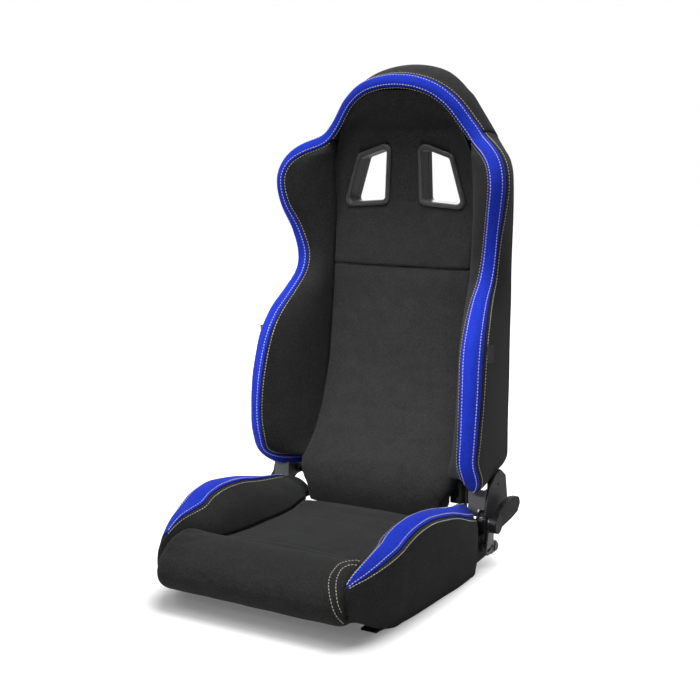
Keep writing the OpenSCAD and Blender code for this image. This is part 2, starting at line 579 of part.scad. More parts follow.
// The seat bolster along the seat: y, x and z of the inner seam, x and z of the
// outer seam, x and z of the lower edge, x and z of the foot beside the cushion
foot_front_z = nose_z - 22;
bolster_end_y = cushion_end_y - 19.5;
SEAT_EDGE = [
  [-236, nose_half + 3, 96, 184, 93, 178, 34, nose_half + 1, 88],
  [-222, nose_half + 5, 106, 196, 99, 192, 22, nose_half + 1, 97],
  [-200, nose_half + 7, 113, 207, 105, 203, 10, nose_half + 1, 102],
  [-165, nose_half + 11, 124, 220, 118, 213, skirt_z + 2, nose_half + 1, 104],
  [-128, nose_half + 15, 137, base_half - 14, 134, 221, skirt_z, nose_half + 1, 102],
  [-104, nose_half + 18, 146, base_half - 9, 145, 225, skirt_z, cushion_half + 3, foot_front_z],
  [-70, nose_half + 21, bolster_top_z - 3, base_half - 5, 155, 230, skirt_z, cushion_half, foot_front_z - 4],
  [-20, nose_half + 25, bolster_top_z, base_half - 2, 157, 235, skirt_z, cushion_half, 86],
  [40, nose_half + 29, bolster_top_z - 6, base_half, 147, 240, skirt_z, cushion_half, 83],
  [90, nose_half + 32, bolster_top_z - 17, base_half, 134, 245, skirt_z, cushion_half, 80],
  [142, nose_half + 34, bolster_top_z - 26, base_half - 2, 114, 246, skirt_z, cushion_half,
    cushion_rear_z + 2],
  [180, nose_half + 35, bolster_top_z - 32, base_half - 7, 102, 241, skirt_z, cushion_half,
    cushion_rear_z + 9],
  [bolster_end_y - 12, nose_half + 35, bolster_top_z - 34, base_half - 16, 97, 235.5, 66, cushion_half,
    cushion_rear_z + 9],
  [bolster_end_y, nose_half + 36, bolster_top_z - 36, base_half - 19, 93, 235.5, 76, cushion_half,
    cushion_rear_z + 9]];
SEAT_ROWS = [for (i = [0:2 * (len(SEAT_EDGE) - 1)]) i / 2];
SEAT_STEPS = [0.08, 0.3, 0.5, 0.7, 0.92];
function seat_edge_point(row, f) =
  let (rise = bolster_rise * min(1, (row[0] + 250) / 90),
    p = bezier([[row[1], row[2]], [mix(row[1], row[3], 0.15), row[2] + rise * 1.3],
      [mix(row[1], row[3], 0.85), row[4] + rise * 1.4], [row[3], row[4]]], f))
  [p[0], row[0], p[1]];
function seat_bed_point(row, f, depth = trim_t) =
  let (p = seat_edge_point(row, f), core = [mix(row[1], row[3], 0.5), row[0], mix(row[2], row[4], 0.5) - 10])
  p + unit(core - p) * depth;
hollow_z = rail_h + strap_t + 2;
function seat_front_line(row) =
  let (foot = [row[7], row[0], row[8]], seam = [row[1], row[0], row[2]], d = seam - foot,
    swell = unit([-d[2], 0, d[0]]) * bolster_crown * min(1, norm(d) / 60), outer = [row[3], row[0], row[4]],
    low = [row[5], row[0], row[6]])
  [for (f = [0, 0.33, 0.7]) mix(foot, seam, f) + swell * sin(180 * f), seam,
    each [for (f = SEAT_STEPS) seat_bed_point(row, f)], outer,
    mix(outer, low, 0.25) + [4, 0, 0], mix(outer, low, 0.6) + [4, 0, 0], low];
function seat_back_line(row) =
  let (z = max(hollow_z, row[6] + 8), inner = max(row[7] + 8, row[5] - skirt_t),
    low = [inner, row[0], row[6]],
    corner = [inner, row[0], z], from = [row[7], row[0], z])
  [for (f = [0:8]) mix(from, corner, f / 9), corner, mix(corner, low, 0.3), mix(corner, low, 0.6), low];
module seat_bolster(side) color(CLOTH) mirror([side < 0 ? 1 : 0, 0, 0]) {
  rows = [for (t = SEAT_ROWS) along(SEAT_EDGE, t)];
  slab([for (row = rows) seat_front_line(row)], [for (row = rows) seat_back_line(row)]);
}
module seat_trim(side) color(STRIP) mirror([side < 0 ? 1 : 0, 0, 0]) {
  rows = [for (t = SEAT_ROWS) along(SEAT_EDGE, max(t, 0.15))];
  slab([for (row = rows) [for (f = SEAT_STEPS) seat_edge_point(row, f)]],
    [for (row = rows) [for (f = SEAT_STEPS) seat_bed_point(row, f, trim_t - seat_gap)]]);
}

// Cushion along the seat: y, top at the seams, half width
CUSHION = [for (row = SEAT_EDGE) if (row[0] > -140) [row[0], row[8], row[7]]];
cushion_front_y = -127;
cushion_crest_y = 180;
cushion_tail_from = 200;
cushion_tail_y = cushion_end_y + 58;
cushion_tail_z = axis_z - shaft_r - 13;
cushion_rows = [cushion_front_y, -104, -70, -20, 40, 90, 142, 164, cushion_crest_y, 188, cushion_tail_from,
  cushion_tail_y - 16, cushion_tail_y];
// The cushion rises to meet the backrest; its tail dips under the cross shaft
function cushion_top(y, f) =
  let (seam = lookup(min(y, cushion_crest_y), [for (p = CUSHION) [p[0], p[1]]]),
    top = seam + cushion_crown * (1 - pow(abs(f), 4)))
  y <= cushion_crest_y ? top : y >= cushion_tail_from ?
  min(cushion_tail_z, cushion_tail_z + (cushion_tail_y - 16 - y) / 4) :
  mix(top, cushion_tail_z, pow((y - cushion_crest_y) / (cushion_tail_from - cushion_crest_y), 1.4));
function cushion_side(y) = lookup(y, [for (p = CUSHION) [p[0], p[2]]]) - seam_gap - (y < -60 ? 0.8 : 0);
cushion_columns = [-1, -0.96, -0.85, -0.6, -0.3, 0, 0.3, 0.6, 0.85, 0.96, 1];
module seat_cushion() color(CLOTH)
  slab([for (y = cushion_rows) [for (f = cushion_columns) [f * cushion_side(y), y, cushion_top(y, f)]]],
    [for (y = cushion_rows) [for (f = cushion_columns)
      [f * cushion_side(y), y, rail_h + strap_t + 2 * seat_gap]]]);

// Front roll's section: depth behind the nose and height, over and under
ROLL_OVER = [[133, -15], [122, -5], [106, -0.5], [84, 0], [58, -3], [34, -9], [16, -19], [5, -32], [0, -46]];
ROLL_UNDER = [[133, -58], [122, -58], [106, -60], [84, -64], [62, -86], [44, -88], [24, -82], [8, -70],
  [1, -58]];
roll_columns = [-1, -0.985, -0.94, -0.8, -0.5, 0, 0.5, 0.8, 0.94, 0.985, 1];
function roll_draw(f) = 1 - 0.06 * pow(abs(f), 24) - 0.03 * pow(abs(f), 8);
function roll_point(p, f) =
  let (k = roll_draw(f)) [f * nose_half, nose_y + 60 + (p[0] - 60) * k, nose_z - 45 + (p[1] + 45) * k];
module seat_front_roll() color(CLOTH)
  slab([for (f = roll_columns) [for (p = ROLL_OVER) roll_point(p, f)]],
    [for (f = roll_columns) [for (p = ROLL_UNDER) roll_point(p, f)]]);

// ---- the seat base's frame ----

rail_front_y = -bolt_y / 2 - 15;
rail_web_y = -58;
rail_rear_y = 214;
flange_in = bolt_x / 2 - 16;
// A rail is a folded plate: a flange on the floor with the bolt holes, and an upright web
module seat_rail(side) color(BLACK) mirror([side < 0 ? 1 : 0, 0, 0]) difference() {
  union() {
    translate([rail_x - rail_t, rail_web_y, 0]) cube([rail_t, rail_rear_y - rail_web_y, rail_h]);
    linear_extrude(rail_t) polygon([[flange_in, rail_front_y],
      [bolt_x / 2 + 14, rail_front_y], [bolt_x / 2 + 15, -bolt_y / 2 - 5], [rail_x, rail_web_y],
      [rail_x, rail_rear_y], [flange_in, rail_rear_y]]);
  }
  for (y = [-1, 1]) translate([bolt_x / 2, y * bolt_y / 2, -1]) cylinder(r = bolt_r, h = rail_t + 2);
  for (y = RECLINER_BOLT_Y) translate([rail_x - 20, y, RECLINER_BOLT_Z]) rotate([0, 90, 0])
    cylinder(r = fix_r + run_gap, h = 30);
}
cross_tube_d = 22;
CROSS_TUBES = [[-44, 34], [176, 28]];
module seat_cross_tubes() color(BLACK)
  for (p = CROSS_TUBES) translate([-(rail_x - rail_t), p[0], p[1]]) rotate([0, 90, 0])
    cylinder(d = cross_tube_d, h = 2 * (rail_x - rail_t));
seat_strap_y = -28;
seat_strap_pitch = 70;
module seat_straps() color(BLACK)
  for (i = [0:2]) let (y = seat_strap_y + i * seat_strap_pitch)
    translate([-rail_x, y - strap_w / 2, rail_h + seat_gap]) cube([2 * rail_x, strap_w, strap_t]);

// ---- the recliner ----

plate_x = rail_x;
AXIS = [axis_y, axis_z];
PIVOT = AXIS + [34, -57];
RECLINER_BOLT_Y = [160, 196];
RECLINER_BOLT_Z = 30;
fix_r = 4;
pawl_r = 6;
// The side plate that is bolted to the rail and carries the pivot
module recliner_plate(side) color(BLACK) side_plate(plate_x, plate_t, side) difference() {
  union() {
    polygon(rounded([[142, 8], [282, 8], [286, 44], [axis_y + 26, axis_z + 10], [axis_y - 26, axis_z + 6],
      [188, 54], [142, 54]], 8));
    translate(AXIS) circle(r = 27);
  }
  translate(AXIS) circle(r = bush_r - 2);
  translate(PIVOT) circle(r = pawl_r - 1.5);
  for (y = RECLINER_BOLT_Y) translate([y, RECLINER_BOLT_Z]) circle(r = fix_r + run_gap);
}
module recliner_bolts() color(STEEL) for (side = [-1, 1], y = RECLINER_BOLT_Y) {
  side_bar(rail_x - rail_t - 7, rail_t + plate_t + 7, fix_r, y, RECLINER_BOLT_Z, side);
  side_plate(plate_x + plate_t, 4, side) translate([y, RECLINER_BOLT_Z]) circle(r = 7.5, $fn = 6);
}
// The bush that the backrest arm turns on, pressed into the side plate
bush_len = arm_x + plate_t + 1.5 - plate_x;
module pivot_bushes() color(STEEL) for (side = [-1, 1]) difference() {
  union() {
    side_bar(plate_x, plate_t, bush_r - 2, axis_y, axis_z, side);
    side_bar(plate_x + plate_t, bush_len - plate_t, bush_r, axis_y, axis_z, side);
  }
  side_bar(plate_x - 1, bush_len + 2, shaft_r + run_gap, axis_y, axis_z, side);
}
// The pin that the pawl turns on, with its round head outside
module pawl_pins() color(STEEL) for (side = [-1, 1]) {
  side_bar(plate_x, plate_t, pawl_r - 1.5, PIVOT[0], PIVOT[1], side);
  side_bar(plate_x + plate_t, arm_x - seat_gap - plate_x - plate_t, pawl_r + 2, PIVOT[0], PIVOT[1], side);
  side_bar(arm_x - seat_gap, plate_t + 2 * seat_gap, pawl_r - 1, PIVOT[0], PIVOT[1], side);
  side_bar(arm_x + plate_t + seat_gap, 3.5, pawl_r + 2.5, PIVOT[0], PIVOT[1], side);
}

// Ring of teeth: outline from one angle to another, tips at outer, roots at inner
function teeth(outer, inner, from, to, thin) = [
  for (a = [from:tooth_pitch:to - tooth_pitch])
    each [for (step = [[thin, inner], [0.5 - thin, outer], [0.5 + thin, outer], [1 - thin, inner]])
      let (w = a + step[0] * tooth_pitch) step[1] * [cos(w), sin(w)]]];
sector_from = -148;
sector_to = -52;
root_r = sector_r - tooth_h;
MESH = -112;
tooth_thin = 0.12;
mesh_room = 0.3;
module recliner_arm(side) color(BLACK) side_plate(arm_x, plate_t, side) difference() {
  union() {
    translate(AXIS) polygon([[0, 0], each teeth(sector_r, root_r, sector_from, sector_to, tooth_thin),
      root_r * [cos(sector_to), sin(sector_to)]]);
    translate(AXIS) circle(r = 24);
    polygon(rounded([[axis_y - 23, axis_z + 2], [axis_y + 20, axis_z - 16], [axis_y + 60, axis_z + 4],
      [axis_y + 97, axis_z + 20], [axis_y + 84, axis_z + 76], [axis_y + 56, axis_z + 95],
      [axis_y + 34, axis_z + 90], [axis_y - 3, axis_z + 68], [axis_y - 16, axis_z + 30]], 6));
  }
  translate(AXIS) circle(r = bush_r + run_gap);
  translate(AXIS + [44, 67.5]) circle(r = 3);
}

// The pawl swings on its pin below the sector; at rest it is just clear of the teeth
release_ratio = 0.36;
lock_angle = 9;
release_angle = 16;
STUD = [-37, 8];
stud_r = 2.5;
pawl_open = release_ratio * lock_angle;
module pawl_outline() difference() {
  union() {
    circle(r = pawl_r + 6);
    polygon(rounded([[4, 9], [-6, 11], [-30, 13], [-41, 22], [-59, 25], [-63, 12], [-44, -2], [-14, -11],
      [2, -9]], 2));
  }
  // The toothed face, cut by the locked sector
  translate(AXIS - PIVOT) polygon([[0, 0], each teeth(sector_r + mesh_room, root_r + mesh_room,
    MESH - 6 * tooth_pitch, MESH + 6 * tooth_pitch, tooth_thin - 0.04)]);
  circle(r = pawl_r - 1 + run_gap);
}
module pawl(side) color(STEEL) union() {
  side_plate(arm_x, plate_t, side) translate(PIVOT) rotate(pawl_open) pawl_outline();
  stud = AXIS + stud_at(0);
  side_bar(arm_x + plate_t - 1, 8, stud_r, stud[0], stud[1], side);
}
function turned(p, a) = [p[0] * cos(a) - p[1] * sin(a), p[0] * sin(a) + p[1] * cos(a)];
// The pawl's stud seen from the axis, with the lever at an angle
function stud_at(angle) = PIVOT - AXIS + turned(STUD, release_ratio * angle);

// The cam's slot leads the stud in as the lever turns
cam_x = arm_x + plate_t + 2.5;
cam_t = 3.5;
module release_cam(side) color(STEEL) side_plate(cam_x, cam_t, side) translate(AXIS) difference() {
  union() {
    circle(r = 13);
    polygon(rounded([[11, 0], [-11, 0], [-26, -50], [-18, -60], [0, -60], [12, -50]], 4));
  }
  circle(r = shaft_r);
  for (a = [-lock_angle - 1:1:release_angle + 1])
    translate(turned(stud_at(a), -a)) circle(r = stud_r + seat_gap, $fn = 24);
}
module release_shaft() color(STEEL) {
  length = 2 * (lever_x + hub_t - 3.5);
  translate([-length / 2, axis_y, axis_z]) rotate([0, 90, 0]) cylinder(r = shaft_r, h = length);
}

// A black lever with a round hub and a paddle that flares outwards
lever_x = cam_x + cam_t + seat_gap;
hub_r = 18;
hub_t = 15;
PADDLE = [[-4, hub_r - 1], [26, 33], [62, 40], [lever_len - 6, 36], [lever_len, 22], [lever_len - 10, 6],
  [lever_len - 36, -2], [22, -9], [4, -hub_r + 1]];
module recliner_lever(side) color(PLASTIC) difference() {
  union() {
    side_bar(lever_x, hub_t, hub_r, axis_y, axis_z, side);
    mirror([side < 0 ? 1 : 0, 0, 0]) translate([lever_x + 1, axis_y, axis_z]) rotate([0, 0, -7])
      rotate([90, 0, 90]) linear_extrude(11) polygon(rounded(PADDLE, 7));
  }
  side_bar(lever_x - 1, hub_t - 2, shaft_r, axis_y, axis_z, side);
}

// Flat strip wound round the pivot bush, pushing the backrest forward
spring_in = bush_r + 1.2;
spring_out = 27;
strip_t = 1.4;
spring_x = plate_x + plate_t + 1;
spring_w = arm_x - 1 - spring_x;
function spiral(a, extra) =
  let (r = mix(spring_in, spring_out, a / (360 * spring_turns)) + extra) r * [cos(a), sin(a)];
spiral_step = 20;
module recliner_spring(side) color(STEEL) side_plate(spring_x, spring_w, side) translate(AXIS) {
  angles = [0:spiral_step:360 * spring_turns];
  backs = [360 * spring_turns:-spiral_step:0];
  polygon([each [for (a = angles) spiral(a, strip_t)], each [for (a = backs) spiral(a, 0)]]);
}

// Folded steel bracket between the frame's tube and the arm, with a welded boss
// that the tube's foot bears on
bracket_t = 3;
boss_r = 9;
boss_up = 8;
boss_in = tube_foot[0] + tube_d / 2 + seat_gap;
FOOT_BOSS = tube_foot + unit(tube_knee - tube_foot) * boss_up;
module back_bracket(side) color(STEEL) mirror([side < 0 ? 1 : 0, 0, 0]) difference() {
  union() {
    difference() {
      translate([bracket_in, bracket_front, bracket_low])
        cube([arm_x - bracket_in, bracket_rear - bracket_front, bracket_top - bracket_low]);
      translate([bracket_in - 1, bracket_front + bracket_t, bracket_low - 1])
        cube([arm_x - bracket_in - bracket_t + 1, bracket_rear, bracket_top - bracket_low + 2]);
    }
    translate([boss_in, FOOT_BOSS[1], FOOT_BOSS[2]]) rotate([0, 90, 0])
      cylinder(r = boss_r, h = arm_x - boss_in - bracket_t / 2);
  }
  // Room for the side plate and the spring
  translate([plate_x - 1.5, bracket_front - 1, bracket_low - 1])
    cube([arm_x - plate_x + 1.4, 52, spring_out + 3 - bracket_low + axis_z]);
}
bracket_low = axis_z + 14;

seat_rail(1);  // seat_rail_left
seat_rail(-1);  // seat_rail_right
seat_cross_tubes();
seat_straps();
seat_cushion();
seat_front_roll();
seat_bolster(1);  // seat_bolster_left
seat_bolster(-1);  // seat_bolster_right
seat_trim(1);  // seat_trim_left
seat_trim(-1);  // seat_trim_right
recliner_plate(1);  // recliner_plate_left
recliner_plate(-1);  // recliner_plate_right
recliner_bolts();
pivot_bushes();
pawl_pins();
recliner_arm(1);  // recliner_arm_left
recliner_arm(-1);  // recliner_arm_right
recliner_spring(1);  // recliner_spring_left
recliner_spring(-1);  // recliner_spring_right
back_bracket(1);  // back_bracket_left
back_bracket(-1);  // back_bracket_right
back_frame();
back_cross_tubes();
back_straps();
back_panel_lower();
back_panel_upper();
back_bolster(1);  // back_bolster_left
back_bolster(-1);  // back_bolster_right
head_border();
back_trim();
back_cover();
harness_bezel(1);  // harness_bezel_left
harness_bezel(-1);  // harness_bezel_right
rear_bezel(1);  // rear_bezel_left
rear_bezel(-1);  // rear_bezel_right
side_tags();
release_shaft();
release_cam(1);  // release_cam_left
release_cam(-1);  // release_cam_right
recliner_lever(1);  // recliner_lever_left
recliner_lever(-1);  // recliner_lever_right
pawl(1);  // pawl_left
pawl(-1);  // pawl_right
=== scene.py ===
"""A reclining bucket seat: padded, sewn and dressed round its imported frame."""
from __future__ import annotations

import json
import logging
import math
from dataclasses import dataclass
from enum import Enum
from typing import Callable, Iterable, Sequence

import bmesh  # noqa: E402
import bpy  # noqa: E402
import numpy as np  # noqa: E402
from mathutils import Matrix, Vector, noise  # noqa: E402
from mathutils.bvhtree import BVHTree  # noqa: E402

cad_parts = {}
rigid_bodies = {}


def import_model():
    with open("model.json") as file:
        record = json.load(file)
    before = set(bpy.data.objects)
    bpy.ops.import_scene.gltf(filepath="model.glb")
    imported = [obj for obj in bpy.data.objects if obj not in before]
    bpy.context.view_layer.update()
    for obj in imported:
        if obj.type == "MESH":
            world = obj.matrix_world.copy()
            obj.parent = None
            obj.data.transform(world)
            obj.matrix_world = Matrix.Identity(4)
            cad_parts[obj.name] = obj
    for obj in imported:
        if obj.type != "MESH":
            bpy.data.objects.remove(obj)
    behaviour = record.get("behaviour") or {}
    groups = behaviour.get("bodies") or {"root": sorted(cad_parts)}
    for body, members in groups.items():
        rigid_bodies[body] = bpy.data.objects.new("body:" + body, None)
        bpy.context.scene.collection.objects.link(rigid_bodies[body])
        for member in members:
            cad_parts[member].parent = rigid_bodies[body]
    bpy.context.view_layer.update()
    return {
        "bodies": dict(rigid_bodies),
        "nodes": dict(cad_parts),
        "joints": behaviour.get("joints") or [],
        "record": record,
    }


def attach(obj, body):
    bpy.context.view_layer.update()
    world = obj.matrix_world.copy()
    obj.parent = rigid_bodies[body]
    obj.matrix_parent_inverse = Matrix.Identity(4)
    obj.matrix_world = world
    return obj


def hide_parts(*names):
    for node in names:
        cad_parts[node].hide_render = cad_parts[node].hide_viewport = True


LOG = logging.getLogger("racing_seat")
MM = 0.001
WHITE = (1.0, 1.0, 1.0, 1.0)


# ---------------------------------------------------------------- curves

def lerp(a: float | np.ndarray, b: float | np.ndarray, f: float) -> float | np.ndarray:
    """The value a fraction f of the way from a to b."""
    return a + (b - a) * f


def clamped(value: float, low: float = 0.0, high: float = 1.0) -> float:
    """The value, kept between two limits."""
    return min(max(value, low), high)


def ramp(value: float, zero: float, one: float) -> float:
    """A straight ramp, 0 where the value equals zero and 1 where it equals one, going on beyond both."""
    return (value - zero) / (one - zero)


def lookup(x: float, table: Sequence[Sequence[float]]) -> float:
    """Straight-line lookup in a table of rising keys.

    Args:
        x: The key.
        table: Pairs of key and value.

    Returns:
        The value, held level past either end.
    """
    return float(np.interp(x, [row[0] for row in table], [row[1] for row in table]))


def along(rows: np.ndarray, t: float) -> np.ndarray:
    """The smooth curve through a table's rows.

    Args:
        rows: One row of numbers for each point of the curve.
        t: Row number, which may be a fraction.

    Returns:
        The curve's numbers at t.
    """
    last = len(rows) - 1
    i = int(min(math.floor(t), last - 1))
    u = t - i
    p0, p1, p2, p3 = rows[max(i - 1, 0)], rows[i], rows[i + 1], rows[min(i + 2, last)]
    return 0.5 * (2 * p1 + (p2 - p0) * u + (2 * p0 - 5 * p1 + 4 * p2 - p3) * u * u
                  + (3 * p1 - p0 - 3 * p2 + p3) * u ** 3)


def bezier(points: Sequence[Sequence[float]], u: float) -> np.ndarray:
    """A cubic curve's point at u, from its four control points."""
    b = np.asarray(points, float)
    return b[0] * (1 - u) ** 3 + b[1] * 3 * u * (1 - u) ** 2 + b[2] * 3 * u * u * (1 - u) + b[3] * u ** 3


def unit(v: np.ndarray) -> np.ndarray:
    """The vector at length one."""
    return v / max(float(np.linalg.norm(v)), 1e-9)


def drawn(p: np.ndarray, core: np.ndarray, depth: float) -> np.ndarray:
    """A point moved towards a core, or away from it where the depth is negative."""
    return p + unit(core - p) * depth


def arc_lengths(points: np.ndarray) -> np.ndarray:
    """Distance along a line of points, from 0."""
    gaps = np.linalg.norm(np.diff(points, axis=0), axis=1)
    return np.concatenate([[0.0], np.cumsum(gaps)])


def steps(start: float, stop: float, count: int) -> list[float]:
    """Evenly spaced numbers from start to stop, both included."""
    return [float(v) for v in np.linspace(start, stop, count)]


def seam_steps(count: int, roll: float = 0.035) -> list[float]:
    """Fractions from 0 to 1 with extra ones close to both ends, for a seam's roll.

    Args:
        count: Number of plain fractions.
        roll: Width of the close-set zone at each end.

    Returns:
        The rising fractions.
    """
    inner = steps(roll, 1 - roll, count)
    return [0.0, roll * 0.2, roll * 0.5] + inner + [1 - roll * 0.5, 1 - roll * 0.2, 1.0]


def bed_spots(inner: float, outer: float, strip_t: float) -> list[tuple[float, float]]:
    """The section of an edge under its strip, whose narrow borders roll down into both the strip's seams.

    Args:
        inner: Place of the strip's inner seam, as a fraction across the edge.
        outer: Place of its outer seam.
        strip_t: The strip's thickness in millimetres.

    Returns:
        Places across the edge, each with its lift over the edge's surface.
    """
    bed = -(strip_t + 1.2)
    return [(0.3 * inner, 0.0), (0.6 * inner, -0.1), (0.8 * inner, -0.7), (0.93 * inner, -2.0), (inner, bed),
            (0.3, bed), (0.5, bed), (0.7, bed), (outer, bed), (lerp(outer, 1, 0.1), -2.0),
            (lerp(outer, 1, 0.3), -0.7), (lerp(outer, 1, 0.6), -0.1)]


# ---------------------------------------------------------------- sizes

@dataclass(frozen=True)
class BackSizes:
    """Sizes of the backrest's padded form, in millimetres."""

    edge_low_z: float = 167
    tail_front: float = 246
    tail_out: float = 203
    tail_deep: float = 28
    lumbar: tuple[float, float, float] = (216, 141, 290)
    waist: tuple[float, float, float] = (193, 294, 590)
    shoulder: tuple[float, float, float] = (223, 247, 735)
    neck: tuple[float, float, float] = (162, 315, 806)
    crown_y: float = 297
    crown_z: float = 917
    rear_y: float = 384
    rear_half: float = 220
    top_z: float = 967
    panel_half: float = 155
    cross_seam_z: float = 563
    panel_crown: float = 8
    bolster_crown: float = 7
    flank_wall: float = 12
    trim_t: float = 3
    seam_gap: float = 0.6
    cover_t: float = 4
    cover_low_z: float = 147
    cover_top_z: float = 961
    apron_margin: float = 15
    hollow_y: float = 356.4
    lean_z: float = 300
    lean: float = 0.287
    panel_foam: float = 46
    panel_low_z: float = 78
    panel_fold_z: float = 92
    panel_fold_y: float = 227
    strip_in: float = 0.14
    strip_out: float = 0.93


class BackForm:
    """The backrest's curves, from which every padded piece of it is cut."""

    FOOT = [(87, 213), (105, 208), (127, 207), (151, 214), (175, 228), (197, 248), (216, 262), (276, 284),
            (328, 297), (384, 307), (506, 324), (563, 328), (672, 337), (714, 335), (747, 330), (776, 326),
            (803, 322), (830, 321)]
    WIDTH = [(0, 27), (1, 33), (2, 35), (4, 35), (5, 38), (6, 40), (7, 38), (8, 34), (9, 32), (10, 31),
             (11, 29), (12, 28), (18, 28), (20, 30), (22, 28), (28, 28), (29, 29), (30, 31), (31, 32),
             (32, 34), (33, 38), (34, 40), (35, 38), (36, 35), (38, 35), (39, 33), (40, 27)]
    RISE = [(0, 12), (4, 14), (6, 17), (8, 14), (10, 12), (30, 12), (32, 14), (34, 17), (36, 14), (40, 12)]
    DISH = [(563, 321), (600, 331), (640, 341), (672, 348), (833, 348), (845, 337), (860, 323),
            (885, 310), (905, 301), (914, 297)]
    PANEL_WIDER = [(78, -3), (114, -2), (132, 8), (148, 16), (170, 20), (205, 17), (260, 9), (330, 2),
                   (360, 0)]
    PANEL_PROUD = [(87, 2), (120, 8), (144, 11), (170, 18), (205, 18), (260, 9), (300, 4), (360, 0)]

    def __init__(self, sizes: BackSizes) -> None:
        """Works out the edge's table of rows.

        Args:
            sizes: The backrest's sizes.
        """
        self.s = sizes
        s = sizes
        (lx, ly, lz), (wx, wy, wz) = s.lumbar, s.waist
        (sx, sy, sz), (nx, ny, nz) = s.shoulder, s.neck
        rear = s.rear_half
        half = [
            [s.panel_half + 28, lerp(ly, wy, 0.76), s.edge_low_z - 4, 22, 168, s.rear_y - 36, 147],
            [lerp(s.panel_half, lx, 0.78), lerp(ly, wy, 0.40), s.edge_low_z + 6, 22, 192, s.rear_y - 20, 151],
            [lerp(s.panel_half, lx, 0.96), lerp(ly, wy, 0.14), s.edge_low_z + 23, 20, 212, s.rear_y - 7, 160],
            [lx - 3, ly + 4, s.edge_low_z + 56, 16, rear, s.rear_y - 1, 182],
            [lx, ly, lz - 18, 22, rear, s.rear_y, 240],
            [lx - 2, ly + 7, lz + 55, 26, rear, s.rear_y, 340],
            [lerp(wx, lx, 0.62), ly + 26, lerp(lz, wz, 0.44), 28, rear, s.rear_y, 420],
            [lerp(wx, lx, 0.38), lerp(ly, wy, 0.36), lerp(lz, wz, 0.6), 28, rear, s.rear_y, 475],
            [wx + 1, lerp(ly, wy, 0.66), lerp(lz, wz, 0.745), 24, rear, s.rear_y, 520],
            [wx - 2, lerp(ly, wy, 0.91), lerp(lz, wz, 0.865), 14, rear, s.rear_y, 555],
            [wx, wy, wz, 6, rear, s.rear_y, wz],
            [lerp(wx, sx, 0.35), lerp(wy, sy, 0.3), lerp(wz, sz, 0.36), 14, rear, s.rear_y, 640],
            [lerp(wx, sx, 0.82), lerp(wy, sy, 0.84), lerp(wz, sz, 0.7), 26, rear, s.rear_y, 690],
            [sx, sy, sz, 30, rear, s.rear_y, sz + 7],
            [sx - 8, sy + 9, sz + 31, 30, rear - 5, s.rear_y, sz + 38],
            [lerp(sx, nx, 0.45), lerp(sy, ny, 0.46), lerp(sz, nz, 0.72), 26, rear - 16, s.rear_y, nz - 12],
            [nx, ny, nz, 20, nx + 28, s.rear_y, nz + 10],
            [nx - 26, ny + 6, nz + 31, 18, nx + 4, s.rear_y, nz + 48],
            [nx * 0.62, lerp(s.crown_y, ny, 0.7), lerp(nz, s.crown_z, 0.69), 17, nx - 30, s.rear_y,
             lerp(nz, s.top_z, 0.61)],
            [nx * 0.36, s.crown_y + 2, s.crown_z - 9, 15, nx * 0.48, s.rear_y, s.top_z - 15],
            [0, s.crown_y, s.crown_z, 15, 0, s.rear_y, s.top_z]]
        self.top = len(half) - 1
        self.neck_row = self.top - 4
        other = [[-r[0], r[1], r[2], r[3], -r[4], r[5], r[6]] for r in half[-2::-1]]
        self.edge = np.array(half + other, float)
        seam = [along(self.edge, self.neck_row + i / 6) for i in range(25)]
        self.head_seam_x = [(r[2], r[0]) for r in seam]
        self.head_seam_y = [(r[2], r[1]) for r in seam]

    def row(self, t: float) -> np.ndarray:
        """The edge's numbers at row t."""
        return along(self.edge, t)

    def outward(self, t: float) -> np.ndarray:
        """Direction square to the edge, outwards in the X-Z plane."""
        a, b = self.row(max(t - 0.7, 0)), self.row(min(t + 0.7, 2 * self.top))
        d = unit(np.array([b[0] - a[0], b[2] - a[2]]))
        return np.array([d[1], 0, -d[0]])

    def hollow(self, z: float) -> float:
        """Depth of the hollow behind the padding at a height."""
        return self.s.hollow_y - max(0.0, self.s.lean_z - z) * self.s.lean

    def foot(self, z: float) -> float:
        """Depth of the panel's long seam at a height."""
        return lookup(z, self.FOOT)

    def width(self, t: float) -> float:
        """Width of the rounded edge at row t."""
        return lookup(t, self.WIDTH)

    def core(self, t: float) -> np.ndarray:
        """Middle of the padding behind the edge at row t."""
        r, n = self.row(t), self.outward(t)
        return r[:3] + n * self.width(t) * 0.35 + np.array([0, r[3] + 12, 0])

    def edge_point(self, t: float, f: float, lift: float = 0.0) -> np.ndarray:
        """A point of the rounded edge's surface.

        Args:
            t: Row number along the edge.
            f: Place across it, from the inner seam at 0 to the outer at 1.
            lift: Distance that the point stands proud of the surface.

        Returns:
            The point in millimetres.
        """
        r, n = self.row(t), self.outward(t)
        w, rise = self.width(t), lookup(t, self.RISE)
        shape = [[0, 0], [0.08 * w, -rise], [w, -rise * 0.4], [w, r[3]]]
        p = bezier(shape, f)
        base = r[:3] + n * p[0] + np.array([0, p[1], 0])
        return drawn(base, self.core(t), -lift) if lift else base

    def strip_point(self, t: float, g: float, lift: float = 0.0) -> np.ndarray:
        """A point of the coloured strip, from its inner seam at 0 to its outer at 1."""
        return self.edge_point(t, lerp(self.s.strip_in, self.s.strip_out, g), lift)

    def face_point(self, t: float, f: float) -> np.ndarray:
        """A point of a bolster's inner face.

        Args:
            t: Row number along the edge.
            f: Place across it, from the panel's seam at 0 to the edge's at 1.

        Returns:
            The point in millimetres.
        """
        r, s = self.row(t), self.s
        foot, seam = np.array([s.panel_half, self.foot(r[2]), r[2]]), r[:3]
        d = seam - foot
        swell = s.bolster_crown * min(1.0, float(np.linalg.norm(d)) / 60)
        return lerp(foot, seam, f) + unit(np.array([d[1], -d[0] - 0.001, 0])) * swell * math.sin(math.pi * f)

